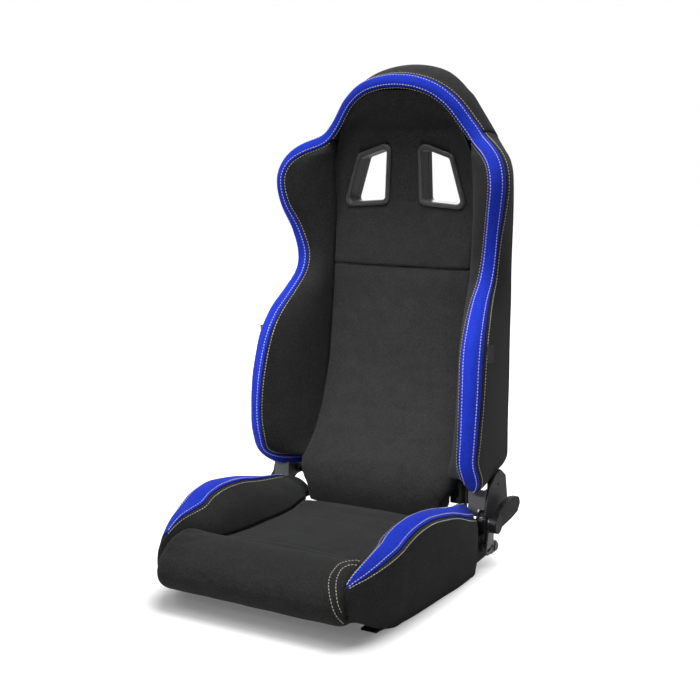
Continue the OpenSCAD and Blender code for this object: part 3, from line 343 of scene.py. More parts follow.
    def side_point(self, t: float, f: float) -> np.ndarray:
        """A point of the outer side.

        Args:
            t: Row number along the edge.
            f: Place across it, from the edge's outer seam at 0 to the rear at 1.

        Returns:
            The point in millimetres.
        """
        r, n = self.row(t), self.outward(t)
        turn = 0.06
        below = self.edge_point(t, 1) + n + np.array([0, 8, 0])
        if f < turn:
            return lerp(self.edge_point(t, 1), below, f / turn)
        g = ramp(f, turn, 1)
        return lerp(below, r[4:7], g) + n * 3 * math.sin(math.pi * g)

    def inner_side(self, t: float) -> tuple[np.ndarray, np.ndarray]:
        """Corner and rear end of the hollow's side at row t."""
        r, n = self.row(t), self.outward(t)
        b = np.array([r[4], 0, r[6]]) - n * self.s.flank_wall
        return np.array([b[0], self.hollow(r[2]), b[2]]), np.array([b[0], r[5] - 1, b[2]])

    def panel_side(self, z: float) -> float:
        """Half width of the panels at a height."""
        half = self.s.panel_half if z < self.s.neck[2] else lookup(z, self.head_seam_x)
        return half - self.s.seam_gap

    def panel_edge_y(self, z: float) -> float:
        """Depth of the panels' side seam at a height."""
        return self.foot(z) if z < self.s.neck[2] else lookup(z, self.head_seam_y)

    def lower_half(self, z: float) -> float:
        """Half width of the lower panel at a height."""
        return self.panel_side(z) + lookup(z, self.PANEL_WIDER)

    def lower_y(self, z: float, f: float) -> float:
        """Depth of the lower panel's face, which swells above its foot."""
        rise = min(1.0, (self.s.cross_seam_z - z) / 24 + 0.2)
        crown = self.s.panel_crown * (1 - abs(f) ** 4) * rise
        return self.foot(z) - crown - lookup(z, self.PANEL_PROUD) * (1 - abs(f) ** 14)

    def upper_y(self, z: float, f: float) -> float:
        """Depth of the upper panel's face."""
        power = lookup(z, [(600, 6), (665, 40), (805, 40), (850, 6)])
        dip = 3 * max(0.0, 1 - (z - self.s.cross_seam_z) / 8)
        return lerp(lookup(z, self.DISH), self.panel_edge_y(z), min(1.0, abs(f)) ** power) + dip


@dataclass(frozen=True)
class BaseSizes:
    """Sizes of the seat base's padded form, in millimetres."""

    cushion_half: float = 148
    cushion_rear_z: float = 78
    cushion_crown: float = 6
    cushion_low: float = 54.6
    bolster_top_z: float = 159
    bolster_rise: float = 12
    bolster_crown: float = 7
    base_half: float = 248
    nose_y: float = -261
    nose_z: float = 117
    nose_half: float = 166
    skirt_z: float = 2
    skirt_t: float = 4.5
    trim_t: float = 3
    seam_gap: float = 0.6
    hollow_z: float = 56
    bolster_end_y: float = 202.5
    crest_y: float = 180
    tail_from: float = 200
    tail_y: float = 280
    tail_z: float = 67
    tail_inner: float = 154.2
    tail_outer: float = 203.4
    tail_low: float = 63
    tail_high: float = 123.5
    strip_in: float = 0.13
    strip_out: float = 0.85
    strip_row: float = 0.12
    right_strip_row: float = 1.72
    seam_y: float = -127
    cap_half: float = 186
    cap_deep: float = 114
    cap_rise: float = 11
    cap_shrink: float = 0.42
    cap_power: float = 2.6


class BaseForm:
    """The seat base's curves, from which its padded pieces are cut."""

    ROLL_OVER = [(133, -15), (122, -5), (106, -0.5), (84, 0), (58, -3), (34, -9), (16, -19), (5, -32),
                 (0, -46)]
    ROLL_UNDER = [(133, -58), (122, -58), (106, -60), (84, -64), (62, -86), (44, -88), (24, -82), (8, -70),
                  (1, -58)]

    def __init__(self, sizes: BaseSizes) -> None:
        """Works out the side edge's table: y, seams' x and z inside and outside, skirt's foot, cushion seam.

        Args:
            sizes: The seat base's sizes.
        """
        self.s = sizes
        s = sizes
        n, b, c = s.nose_half, s.base_half, s.cushion_half
        t, k, q = s.bolster_top_z, s.skirt_z, s.cushion_rear_z
        foot_z = s.nose_z - 22
        self.edge = np.array([
            [-237, n + 22, 107, 192, 103, 190, 44, n + 19, 70],
            [-222, n + 24, 118, 200, 107, 198, 41, n + 22, 80],
            [-200, n + 26, 127, 212, 113, 206, 30, n + 22, 90],
            [-165, n + 27, 136, 226, 123, 214, k + 10, n + 19, 96],
            [-128, n + 23, 141, b - 12, 135, 222, k, n + 1, 102],
            [-104, n + 18, 146, b - 9, 145, 225, k, c + 3, foot_z],
            [-70, n + 21, t - 3, b - 5, 155, 230, k, c, foot_z - 4],
            [-20, n + 25, t, b - 2, 157, 235, k, c, 86],
            [40, n + 29, t - 6, b, 147, 240, k, c, 83],
            [90, n + 32, t - 17, b, 134, 245, k, c, 80],
            [142, n + 34, t - 26, b - 2, 114, 246, k, c, q + 2],
            [180, n + 35, t - 32, b - 7, 102, 241, k, c, q + 9],
            [s.bolster_end_y - 12, n + 35, t - 34, b - 16, 97, 235.5, 66, c, q + 9],
            [s.bolster_end_y, n + 36, t - 36, b - 19, 93, 235.5, 76, c, q + 9]], float)
        self.last = len(self.edge) - 1
        self.cushion = [(r[0], r[8], r[7]) for r in self.edge if r[0] > -140]

    def row(self, t: float) -> np.ndarray:
        """The side edge's numbers at row t."""
        return along(self.edge, t)

    def core(self, t: float, depth: float) -> np.ndarray:
        """A point under the middle of the edge at row t."""
        r = self.row(t)
        return np.array([lerp(r[1], r[3], 0.5), r[0], lerp(r[2], r[4], 0.5) - depth])

    def edge_point(self, t: float, f: float, lift: float = 0.0) -> np.ndarray:
        """A point of the coloured edge's surface.

        Args:
            t: Row number along the edge.
            f: Place across it, from the inner seam at 0 to the outer at 1.
            lift: Distance that the point stands proud of the surface.

        Returns:
            The point in millimetres.
        """
        r = self.row(t)
        rise = self.s.bolster_rise * min(1.0, (r[0] + 250) / 90)
        p = bezier([[r[1], r[2]], [lerp(r[1], r[3], 0.15), r[2] + rise * 1.3],
                    [lerp(r[1], r[3], 0.85), r[4] + rise * 1.4], [r[3], r[4]]], f)
        base = np.array([p[0], r[0], p[1]])
        return drawn(base, self.core(t, 10), -lift) if lift else base

    def strip_point(self, t: float, g: float, lift: float = 0.0) -> np.ndarray:
        """A point of the coloured strip, from its inner seam at 0 to its outer at 1."""
        return self.edge_point(t, lerp(self.s.strip_in, self.s.strip_out, g), lift)

    def face_point(self, t: float, f: float) -> np.ndarray:
        """A point of the bolster's inner face.

        Args:
            t: Row number along the edge.
            f: Place across it, from the cushion's seam at 0 to the edge's at 1.

        Returns:
            The point in millimetres.
        """
        r, s = self.row(t), self.s
        foot, seam = np.array([r[7], r[0], r[8]]), np.array([r[1], r[0], r[2]])
        d = seam - foot
        swell = s.bolster_crown * min(1.0, float(np.linalg.norm(d)) / 60)
        return lerp(foot, seam, f) + unit(np.array([-d[2], 0, d[0]])) * swell * math.sin(math.pi * f)

    def side_point(self, t: float, f: float) -> np.ndarray:
        """A point of the side cover, from the edge's outer seam at 0 to the lower hem at 1."""
        r = self.row(t)
        outer, low = np.array([r[3], r[0], r[4]]), np.array([r[5], r[0], r[6]])
        return lerp(outer, low, f) + np.array([4.6 * math.sin(math.pi * min(1.0, f * 1.06)) ** 0.7, 0, 0])

    def under_line(self, t: float, count: int) -> list[np.ndarray]:
        """The bolster's hollow underside.

        Args:
            t: Row number along the edge.
            count: Number of points.

        Returns:
            The points, from the cushion's seam to the hem.
        """
        r, s = self.row(t), self.s
        z = max(s.hollow_z, r[6] + 8)
        inner = max(r[7] + 8, r[5] - s.skirt_t)
        low, corner = np.array([inner, r[0], r[6]]), np.array([inner, r[0], z])
        flat = [lerp(np.array([r[7], r[0], z]), corner, f) for f in steps(0, 1, count - 8)]
        return flat + [lerp(corner, low, f) for f in steps(0.12, 1, 8)]

    def cushion_top(self, y: float, f: float) -> float:
        """Height of the cushion's face.

        Args:
            y: Depth in millimetres.
            f: Place across it, from -1 to 1.

        Returns:
            The height in millimetres.
        """
        s = self.s
        seam = lookup(min(y, s.crest_y), [(p[0], p[1]) for p in self.cushion])
        top = seam + s.cushion_crown * (1 - abs(f) ** 4)
        if y <= s.crest_y:
            return top
        if y >= s.tail_from:
            return min(s.tail_z, s.tail_z + (s.tail_y - 16 - y) / 4)
        return lerp(top, s.tail_z, ((y - s.crest_y) / (s.tail_from - s.crest_y)) ** 1.4)

    def cushion_side(self, y: float) -> float:
        """Half width of the cushion."""
        return lookup(y, [(p[0], p[2]) for p in self.cushion]) - self.s.seam_gap - (0.8 if y < -60 else 0)

    def roll_point(self, p: Sequence[float], x: float) -> np.ndarray:
        """A point of the front roll, whose end caps stand before the bolsters.

        Args:
            p: Depth behind the nose and height, in the roll's own section.
            x: Place across the seat in millimetres.

        Returns:
            The point in millimetres.
        """
        s = self.s
        g = max(0.0, ramp(abs(x), s.nose_half, s.cap_half))
        size = 1 - s.cap_shrink * (1 - max(0.0, 1 - g ** s.cap_power) ** (1 / s.cap_power))
        y, z = (min(p[0], s.cap_deep) if g > 0 else p[0]), p[1]
        if z > -50:
            rise = clamped(ramp(abs(x), 115, 170)) ** 2 * clamped(p[0] / 45) ** 1.5
            z += s.cap_rise * rise * clamped(ramp(p[0], 125, 85))
        middle_y, middle_z = (46 if g > 0 else 60), -45
        return np.array([x, s.nose_y + lerp(middle_y, y, size), s.nose_z + lerp(middle_z, z, size)])


@dataclass(frozen=True)
class BezelSizes:
    """Sizes of the harness slots, in millimetres."""

    slot_z: float = 747
    slot_in: float = 31
    slot_top_w: float = 76
    slot_low_w: float = 106
    slot_h: float = 136
    sleeve_room: float = 7.2

    def span(self) -> tuple[float, float]:
        """Heights of the slots' lower and upper end."""
        return self.slot_z - self.slot_h / 2, self.slot_z + self.slot_h / 2

    def outline(self) -> list[tuple[float, float]]:
        """Corners of a bezel on the left, counter-clockwise from the lower inner one: x, z."""
        low, high = self.span()
        return [(self.slot_in + 3, low + 8), (self.slot_in + 3 + self.slot_low_w, low),
                (self.slot_in + self.slot_top_w, high - 26), (self.slot_in - 2, high)]

    def hole(self) -> list[tuple[float, float]]:
        """Corners of the hole through the padding.

        Returns:
            The corners, each x and z.
        """
        pts = [np.array(p, float) for p in self.outline()]
        out = []
        for i, p in enumerate(pts):
            a, b = unit(pts[i - 1] - p), unit(pts[(i + 1) % 4] - p)
            half = math.acos(clamped(float(a @ b), -1.0, 1.0)) / 2
            q = p + unit(a + b) * self.sleeve_room / math.sin(half)
            out.append((float(q[0]), float(q[1])))
        return out


class SlotGrid:
    """Columns and heights of a panel's grid that bend round the two harness slots."""

    ACROSS = 11

    def __init__(self, bezel: BezelSizes, inner: int, outer: Sequence[float]) -> None:
        """Keeps the hole's corners and how finely the cloth beside it is divided.

        Args:
            bezel: Sizes of the harness slots.
            inner: Number of cells between the middle and a hole.
            outer: Places of the columns beyond a hole, as fractions of the way to the panel's side.
        """
        self.corners, self.inner, self.outer = bezel.hole(), inner, outer

    def columns(self, side: float, g: float) -> list[float]:
        """Places of a row's columns from side to side.

        Args:
            side: Half width of the panel there.
            g: Fraction of the way up the holes.

        Returns:
            The columns' places, with the holes' flanks among them.
        """
        (ax, _), (bx, _), (cx, _), (dx, _) = self.corners
        a, b = min(lerp(ax, dx, g), side * 0.3), min(lerp(bx, cx, g), side * 0.86)
        half = (steps(0, a, self.inner + 1)[1:] + steps(a, b, self.ACROSS + 1)[1:]
                + [lerp(b, side, f) for f in self.outer])
        return [-x for x in half[::-1]] + [0.0] + half

    def height(self, x: float, g: float) -> float:
        """Height at x of the line a fraction g of the way up the holes."""
        (ax, az), (bx, bz), (cx, cz), (dx, dz) = self.corners
        return lerp(lookup(abs(x), [(ax, az), (bx, bz)]), lookup(abs(x), [(dx, dz), (cx, cz)]), g)

    def openings(self, first: int, last: int) -> list[tuple[int, int, int, int]]:
        """The two blocks of cells that the slots leave open between two rows."""
        left = len(self.outer)
        right = left + self.ACROSS + 2 * self.inner
        return [(first, last, c, c + self.ACROSS) for c in (left, right)]

    def beside(self, column: int) -> bool:
        """Whether a column runs between the holes' outer flanks."""
        reach = self.inner + self.ACROSS
        return abs(column - len(self.outer) - reach) <= reach


# ---------------------------------------------------------------- meshes

def slab(name: str, front: np.ndarray, back: np.ndarray,
         holes: Sequence[tuple[int, int, int, int]] = ()) -> bpy.types.Object:
    """A closed padded solid between a front and a back grid, with a cloth UV map in metres.

    Args:
        name: The object's name.
        front: Grid of points in millimetres: rows, columns, 3.
        back: Grid of the same size behind it.
        holes: Blocks of cells left open: first and last row, first and last column.

    Returns:
        The new object.
    """
    rows, cols = front.shape[:2]
    count = rows * cols
    middle = cols // 2
    lengthwise = arc_lengths(front[:, middle]) * MM
    crosswise = np.stack([arc_lengths(line) for line in front]) * MM
    crosswise -= crosswise[:, middle:middle + 1]
    points = np.concatenate([front.reshape(-1, 3), back.reshape(-1, 3)]) * MM
    uv = np.zeros((2 * count, 2))
    uv[:count, 0] = crosswise.reshape(-1)
    uv[:count, 1] = np.repeat(lengthwise, cols)
    uv[count:] = uv[:count] + 0.003
    faces: list[tuple[int, int, int, int]] = []

    def open_cell(r: int, c: int) -> bool:
        """Whether a cell belongs to a hole."""
        return any(h[0] <= r < h[1] and h[2] <= c < h[3] for h in holes)

    for r in range(rows - 1):
        for c in range(cols - 1):
            if not open_cell(r, c):
                a = r * cols + c
                faces.append((a, a + cols, a + cols + 1, a + 1))
                faces.append((a + count, a + 1 + count, a + cols + 1 + count, a + cols + count))

    def wall(a: int, b: int) -> None:
        """Closes the rim between two front points and the two behind them."""
        faces.append((a, b, b + count, a + count))

    for r in range(rows - 1):
        wall((r + 1) * cols, r * cols)
        wall(r * cols + cols - 1, (r + 1) * cols + cols - 1)
    for c in range(cols - 1):
        wall(c, c + 1)
        wall((rows - 1) * cols + c + 1, (rows - 1) * cols + c)
    for r0, r1, c0, c1 in holes:
        for r in range(r0, r1):
            wall(r * cols + c0, (r + 1) * cols + c0)
            wall((r + 1) * cols + c1, r * cols + c1)
        for c in range(c0, c1):
            wall(r0 * cols + c + 1, r0 * cols + c)
            wall(r1 * cols + c, r1 * cols + c + 1)
    mesh = bpy.data.meshes.new(name)
    mesh.from_pydata([tuple(p) for p in points], [], faces)
    layer = mesh.uv_layers.new(name="cloth")
    corner_verts = np.empty(len(mesh.loops), dtype=np.int32)
    mesh.loops.foreach_get("vertex_index", corner_verts)
    layer.data.foreach_set("uv", uv[corner_verts].astype(np.float32).reshape(-1))
    obj = bpy.data.objects.new(name, mesh)
    bpy.context.scene.collection.objects.link(obj)
    work = bmesh.new()
    work.from_mesh(mesh)
    loose = [v for v in work.verts if not v.link_faces]
    bmesh.ops.delete(work, geom=loose, context="VERTS")
    bmesh.ops.recalc_face_normals(work, faces=work.faces)
    work.to_mesh(mesh)
    work.free()
    mesh.polygons.foreach_set("use_smooth", [True] * len(mesh.polygons))
    return obj


def mirrored(obj: bpy.types.Object, name: str) -> bpy.types.Object:
    """A copy of an object on the seat's other side, with its own mesh and without modifiers.

    Args:
        obj: The object on the first side.
        name: The copy's name.

    Returns:
        The new object.
    """
    mesh = obj.data.copy()
    mesh.name = name
    mesh.transform(Matrix.Scale(-1, 4, Vector((1, 0, 0))))
    mesh.flip_normals()
    copy = bpy.data.objects.new(name, mesh)
    bpy.context.scene.collection.objects.link(copy)
    return copy


def smooth(obj: bpy.types.Object, levels: int = 1) -> None:
    """Adds a subdivision surface with equal shown and rendered levels."""
    mod = obj.modifiers.new("finish", "SUBSURF")
    mod.levels = mod.render_levels = levels


def surface(obj: bpy.types.Object) -> BVHTree:
    """A search tree of an object's finished surface."""
    graph = bpy.context.evaluated_depsgraph_get()
    return BVHTree.FromObject(obj, graph)


def wrinkle(obj: bpy.types.Object, height: float, size: float, seed: float,
            where: Callable[[Vector], float] = lambda p: 1.0) -> None:
    """Moves a padded piece's surface in and out in soft, uneven waves.

    Args:
        obj: The piece.
        height: Largest movement in millimetres.
        size: Width of a wave in millimetres.
        seed: Offset of the pattern.
        where: Strength from 0 to 1 at a point.
    """
    mesh = obj.data
    normals = [v.normal.copy() for v in mesh.vertices]
    for v, n in zip(mesh.vertices, normals):
        p = v.co / (size * MM) + Vector((seed, seed * 0.7, -seed))
        v.co += n * (noise.noise(p) * height * MM * where(v.co))


@dataclass(frozen=True)
class Stuffing:
    """How a padded piece is blown up: pressure, cap on a point's move, frames."""

    pressure: float = 4.0
    cap_mm: float = 6.0
    frames: int = 20
    stiffness: float = 25.0


def stuff(obj: bpy.types.Object, held: Callable[[Vector], float], how: Stuffing) -> None:
    """Swells a piece with cloth simulation between its held seams, and keeps the result.

    Args:
        obj: The closed piece.
        held: How firmly a point is held, from 0 free to 1 sewn down.
        how: Pressure, cap, frames and stiffness.
    """
    mesh = obj.data
    rest = np.empty(len(mesh.vertices) * 3)
    mesh.vertices.foreach_get("co", rest)
    rest = rest.reshape(-1, 3)
    group = obj.vertex_groups.new(name="sewn")
    for v in mesh.vertices:
        weight = held(v.co)
        if weight > 0:
            group.add([v.index], min(1.0, weight), "REPLACE")
    cloth = obj.modifiers.new("cloth", "CLOTH")
    settings = cloth.settings
    settings.quality = 4
    settings.mass = 0.35
    settings.tension_stiffness = settings.compression_stiffness = how.stiffness
    settings.shear_stiffness = how.stiffness * 0.5
    settings.bending_stiffness = 0.8
    settings.use_pressure = True
    settings.uniform_pressure_force = how.pressure
    settings.effector_weights.gravity = 0
    settings.vertex_group_mass = group.name
    cloth.collision_settings.use_collision = False
    cloth.point_cache.frame_start = 1
    cloth.point_cache.frame_end = how.frames
    scene = bpy.context.scene
    for frame in range(1, how.frames + 1):
        scene.frame_set(frame)
    graph = bpy.context.evaluated_depsgraph_get()
    swollen = obj.evaluated_get(graph).to_mesh()
    moved = np.empty(len(swollen.vertices) * 3)
    swollen.vertices.foreach_get("co", moved)
    moved = moved.reshape(-1, 3)
    obj.evaluated_get(graph).to_mesh_clear()
    shift = moved - rest
    far = np.linalg.norm(shift, axis=1, keepdims=True)
    cap = how.cap_mm * MM
    shift *= np.minimum(1.0, cap / np.maximum(far, 1e-9))
    obj.modifiers.remove(cloth)
    scene.frame_set(1)
    mesh.vertices.foreach_set("co", (rest + shift).reshape(-1))
    mesh.update()
    LOG.info("%s swelled by up to %.1f mm", obj.name, float(far.max()) / MM)


def sewn(gap: float) -> float:
    """How firmly cloth is held at a gap in millimetres from its seam: fast within 3, free from 12."""
    return ramp(gap, 12, 3)


def grid(rows: Iterable[float], cols: Sequence[float],
         point: Callable[[float, float], np.ndarray]) -> np.ndarray:
    """A grid of points in millimetres, one for each row and column value."""
    return np.array([[point(r, c) for c in cols] for r in rows])


def polyline(corners: Sequence[np.ndarray], count: int) -> list[np.ndarray]:
    """Evenly spaced points along a line through corners, both ends included.

    Args:
        corners: The line's corners.
        count: Number of points.

    Returns:
        The points.
    """
    line = np.array(corners, float)
    reach = arc_lengths(line)
    return [np.array([np.interp(d, reach, line[:, k]) for k in range(3)])
            for d in steps(0, reach[-1], count)]


def dip(f: float, roll: float, depth: float, low: bool = True, high: bool = True) -> float:
    """How deep a seam draws the cloth in, at a fraction across a panel.

    Args:
        f: Fraction across the panel.
        roll: Width of the drawn zone, as a fraction.
        depth: Depth at the seam in millimetres.
        low: Whether the seam at 0 draws.
        high: Whether the seam at 1 draws.

    Returns:
        The depth in millimetres.
    """
    near = min(f if low else 1.0, 1 - f if high else 1.0)
    if near >= roll:
        return 0.0
    g = 1 - max(near, 0.0) / roll
    return depth * (1 - math.sqrt(max(0.0, 1 - g * g)))


class Padding:
    """The padded pieces of one sub-assembly, cut from its form."""

    FINE = 400
    PITCH = 6.5

    def __init__(self, form: BackForm | BaseForm) -> None:
        """Keeps the form that the pieces are cut from."""
        self.form = form
        self.pieces: dict[str, bpy.types.Object] = {}

    def rows(self, start: float, stop: float, pitch: float | None = None) -> list[float]:
        """Row numbers a given distance apart along the edge.

        Args:
            start: First row number.
            stop: Last row number.
            pitch: Distance in millimetres, or None for the sub-assembly's own.

        Returns:
            The row numbers.
        """
        ts = steps(start, stop, self.FINE)
        reach = arc_lengths(np.array([self.form.edge_point(t, 0.5) for t in ts]))
        count = max(2, round(reach[-1] / (pitch or self.PITCH)))
        return [float(np.interp(d, reach, ts)) for d in steps(0, reach[-1], count)]

    def pad(self, name: str, lines: Sequence[tuple[list, list]]) -> bpy.types.Object:
        """A padded piece from its pairs of front and back lines."""
        return slab(name, np.array([a for a, _ in lines]), np.array([b for _, b in lines]))

    def keep(self, *done: bpy.types.Object) -> None:
        """Smooths finished pieces and keeps them by name."""
        for obj in done:
            smooth(obj)
            self.pieces[obj.name] = obj


class Backrest(Padding):
    """The backrest's padded pieces: strip, bolsters, headrest border, panels and rear cover."""

    TAIL_ROWS = ((108, 4.0), (108.8, 1.8), (111, 0.4), (117, 0.0), (128, 0.0), (139, 0.0))
    APRON = ((386, 147), (364, 137), (334, 123), (294, 108))

    def flank(self, t: float, with_face: bool) -> tuple[list[np.ndarray], list[np.ndarray]]:
        """Front and back line of the padding at row t.

        Args:
            t: Row number along the edge.
            with_face: Whether the inner face up to the panel's seam belongs to it.

        Returns:
            Front points and as many back points.
        """
        form, s = self.form, self.form.s
        core, r = form.core(t), form.row(t)
        front: list[np.ndarray] = []
        if with_face:
            for f in seam_steps(15, 0.06):
                depth = dip(f, 0.06, 4.0, high=False)
                front.append(form.face_point(t, f) + np.array([0.25, 1, 0]) * depth)
        else:
            front.append(drawn(form.edge_point(t, 0), core, 3.5))
        front += [form.edge_point(t, f, lift) for f, lift in bed_spots(s.strip_in, s.strip_out, s.trim_t)]
        for f in seam_steps(15, 0.045):
            front.append(drawn(form.side_point(t, f), core, dip(f, 0.06, 2.5, low=False)))
        corner, last = form.inner_side(t)
        start = np.array([s.panel_half if with_face else r[0], form.hollow(r[2]), r[2]])
        back = polyline([start, corner, last], len(front))
        return front, back

    def tail(self, first: tuple[list, list]) -> list[tuple[list, list]]:
        """A bolster's short end, which hangs under its first row beside the panel and clear of the base.

        Args:
            first: Front and back line of the first row.

        Returns:
            The lines of the tail's rows, from the lowest up.
        """
        s, out = self.form.s, []
        for z, trim in self.TAIL_ROWS:
            rows: tuple[list, list] = ([], [])
            for line, kept in zip(first, rows):
                for p in line:
                    x = clamped(p[0], s.panel_half + trim, s.tail_out - trim)
                    y = clamped(p[1], s.tail_front + trim, s.tail_front + s.tail_deep - trim)
                    kept.append(np.array([x, y, z]))
            out.append(rows)
        return out

    def flanks(self) -> None:
        """The two bolsters and the headrest's border."""
        neck = self.form.neck_row + 0.3
        above = neck + 0.05
        lines = [self.flank(t, True) for t in self.rows(0.0, neck)]
        left = self.pad("back_bolster_left_cloth", self.tail(lines[0]) + lines)
        border = self.pad("head_border_cloth",
                          [self.flank(t, False) for t in self.rows(above, 2 * self.form.top - above)])
        self.swell_bolster(left)
        self.keep(left, border, mirrored(left, "back_bolster_right_cloth"))

    def swell_bolster(self, obj: bpy.types.Object) -> None:
        """Stuffs one bolster: sewn at the seams, at the strip's bed and behind.

        Args:
            obj: The bolster.
        """
        form = self.form
        seams = [Vector(form.strip_point(t, g) * MM)
                 for t in steps(0, form.neck_row, 120) for g in (0, 0.5, 1)]
        tree = BVHTree.FromPolygons(seams, [(i, i + 1, i + 2) for i in range(0, len(seams) - 2, 3)])

        def held(p: Vector) -> float:
            """How firmly a point is held by seams and by what it rests on.

            Args:
                p: The point in metres.

            Returns:
                Firmness from 0 to 1.
            """
            near = tree.find_nearest(p, 200 * MM)
            gap = near[3] / MM if near[0] is not None else math.inf
            x, y, z = p / MM
            behind = ramp(y, 350, 362) if z > 250 else ramp(y, 270, 290)
            foot = ramp(x - form.s.panel_half, 16, 4)
            return clamped(max(ramp(gap, 18, 6), foot, behind, ramp(z, 182, 170)))

        stuff(obj, held, Stuffing(pressure=3.0, cap_mm=4.5))

    def strip(self) -> None:
        """The coloured strip that runs round the whole edge."""
        form, s = self.form, self.form.s
        ts = self.rows(0.02, 2 * form.top - 0.02, 6.0)
        fs = seam_steps(11, 0.07)

        def over(t: float, f: float) -> np.ndarray:
            """A point of the strip's crowned top."""
            return form.strip_point(t, f, 0.9 * math.sin(math.pi * f) - dip(f, 0.09, 3.2))

        obj = slab("back_strip_cloth", grid(ts, fs, over),
                   grid(ts, fs, lambda t, f: form.strip_point(t, 0.02 + 0.96 * f, -(s.trim_t + 0.8))))
        wrinkle(obj, height=0.55, size=38, seed=3.1)
        wrinkle(obj, height=0.22, size=11, seed=8.4)
        self.keep(obj)

    def lower_panel(self) -> None:
        """The padded panel under the cross seam."""
        form, s = self.form, self.form.s
        low, top = s.panel_low_z, s.cross_seam_z - s.seam_gap
        zs = ([low, low + 1, low + 3, low + 7, low + 12] + steps(low + 18, top - 5, 72)
              + [top - 2.5, top - 0.8, top])
        fs = [2 * f - 1 for f in seam_steps(43, 0.02)]

        def front(z: float, f: float) -> np.ndarray:
            """A point of the face, drawn in at its seams.

            Args:
                z: Height.
                f: Place across, from -1 to 1.

            Returns:
                The point.
            """
            depth = (dip((f + 1) / 2, 0.03, 5.0) + dip((top - z) / 450, 0.014, 4.0, high=False)
                     + dip((z - low) / 450, 0.03, 6.0, high=False))
            return np.array([f * form.lower_half(z), form.lower_y(z, f) + depth, z])

        def back(z: float, f: float) -> np.ndarray:
            """A point of the rear, which folds forward at the foot.

            Args:
                z: Height.
                f: Place across, from -1 to 1.

            Returns:
                The point.
            """
            x = f * form.lower_half(z)
            if z < s.panel_fold_z:
                return np.array([x, s.panel_fold_y, z])
            y = min(form.hollow(z), form.foot(z) + s.panel_foam)
            return np.array([x, y, z + max(0.0, 163 - z) * 0.12])

        obj = slab("lower_panel_cloth", grid(zs, fs, front), grid(zs, fs, back))

        def held(p: Vector) -> float:
            """How firmly a point is held by seams and by what it rests on.

            Args:
                p: The point in metres.

            Returns:
                Firmness from 0 to 1.
            """
            x, y, z = abs(p.x) / MM, p.y / MM, p.z / MM
            near = max(sewn(form.lower_half(z) - x), sewn(top - z), ramp(z, low + 16, low + 7))
            return clamped(max(near, ramp(y - form.foot(z), 12, 18)))

        stuff(obj, held, Stuffing(pressure=3.0, cap_mm=4.0))
        wrinkle(obj, height=1.0, size=60, seed=5.2,
                where=lambda p: 1.0 if abs(p.x) < (s.panel_half - 6) * MM else 0.0)
        self.keep(obj)

    def upper_panel(self, bezel: BezelSizes) -> None:
        """The dished panel with the two harness slots.

        Args:
            bezel: Sizes of the harness slots.
        """
        form, s = self.form, self.form.s
        low, top = s.cross_seam_z + s.seam_gap, s.crown_z - 3
        slot_low, slot_high = bezel.span()
        mesh = SlotGrid(bezel, 5, (0.12, 0.25, 0.4, 0.55, 0.68, 0.8, 0.9, 0.96, 0.99, 1))
        under = [low, low + 0.8, low + 2.5, low + 5] + steps(low + 10, slot_low - 17, 14)
        over = steps(slot_high + 21, top - 6, 12) + [top - 3, top - 1, top]
        zs = under + steps(slot_low, slot_high, 13) + over
        first, last = len(under), len(zs) - len(over) - 1
        front, back = [], []
        for i, z_mid in enumerate(zs):
            ahead, behind = [], []
            g = clamped(ramp(i, first, last))
            for k, x in enumerate(mesh.columns(form.panel_side(z_mid), g)):
                z = mesh.height(x, g) if first <= i <= last else z_mid
                f = x / form.panel_side(z)
                depth = (dip((f + 1) / 2, 0.03, 5.0 if z < 790 else 1.6)
                         + dip((z - low) / 340, 0.014, 4.0, high=False)
                         + dip((top - z) / 340, 0.02, 1.6, high=False))
                ahead.append(np.array([x, form.upper_y(z, clamped(f, -1.0, 1.0)) + depth, z]))
                thick = first <= i <= last and mesh.beside(k)
                behind.append(np.array([x, s.rear_y - 1 if thick else form.hollow(z), z]))
            front.append(ahead)
            back.append(behind)
        obj = slab("upper_panel_cloth", np.array(front), np.array(back), mesh.openings(first, last))

        def held(p: Vector) -> float:
            """How firmly a point is held by seams and by what it rests on.

            Args:
                p: The point in metres.

            Returns:
                Firmness from 0 to 1.
            """
            x, y, z = abs(p.x) / MM, p.y / MM, p.z / MM
            slot = 1 if slot_low - 11 < z < slot_high + 13 and 18 < x < 158 else 0
            near = max(sewn(form.panel_side(z) - x), sewn(z - low), sewn(top - z))
            return clamped(max(near, slot, ramp(y, 352, 355)))

        stuff(obj, held, Stuffing(pressure=2.5, cap_mm=4.0))
        wrinkle(obj, height=0.9, size=55, seed=1.7,
                where=lambda p: 1.0 if abs(p.x) < 0.12 and p.y < 0.346 and p.z < 0.66 else 0.25)
        self.keep(obj)

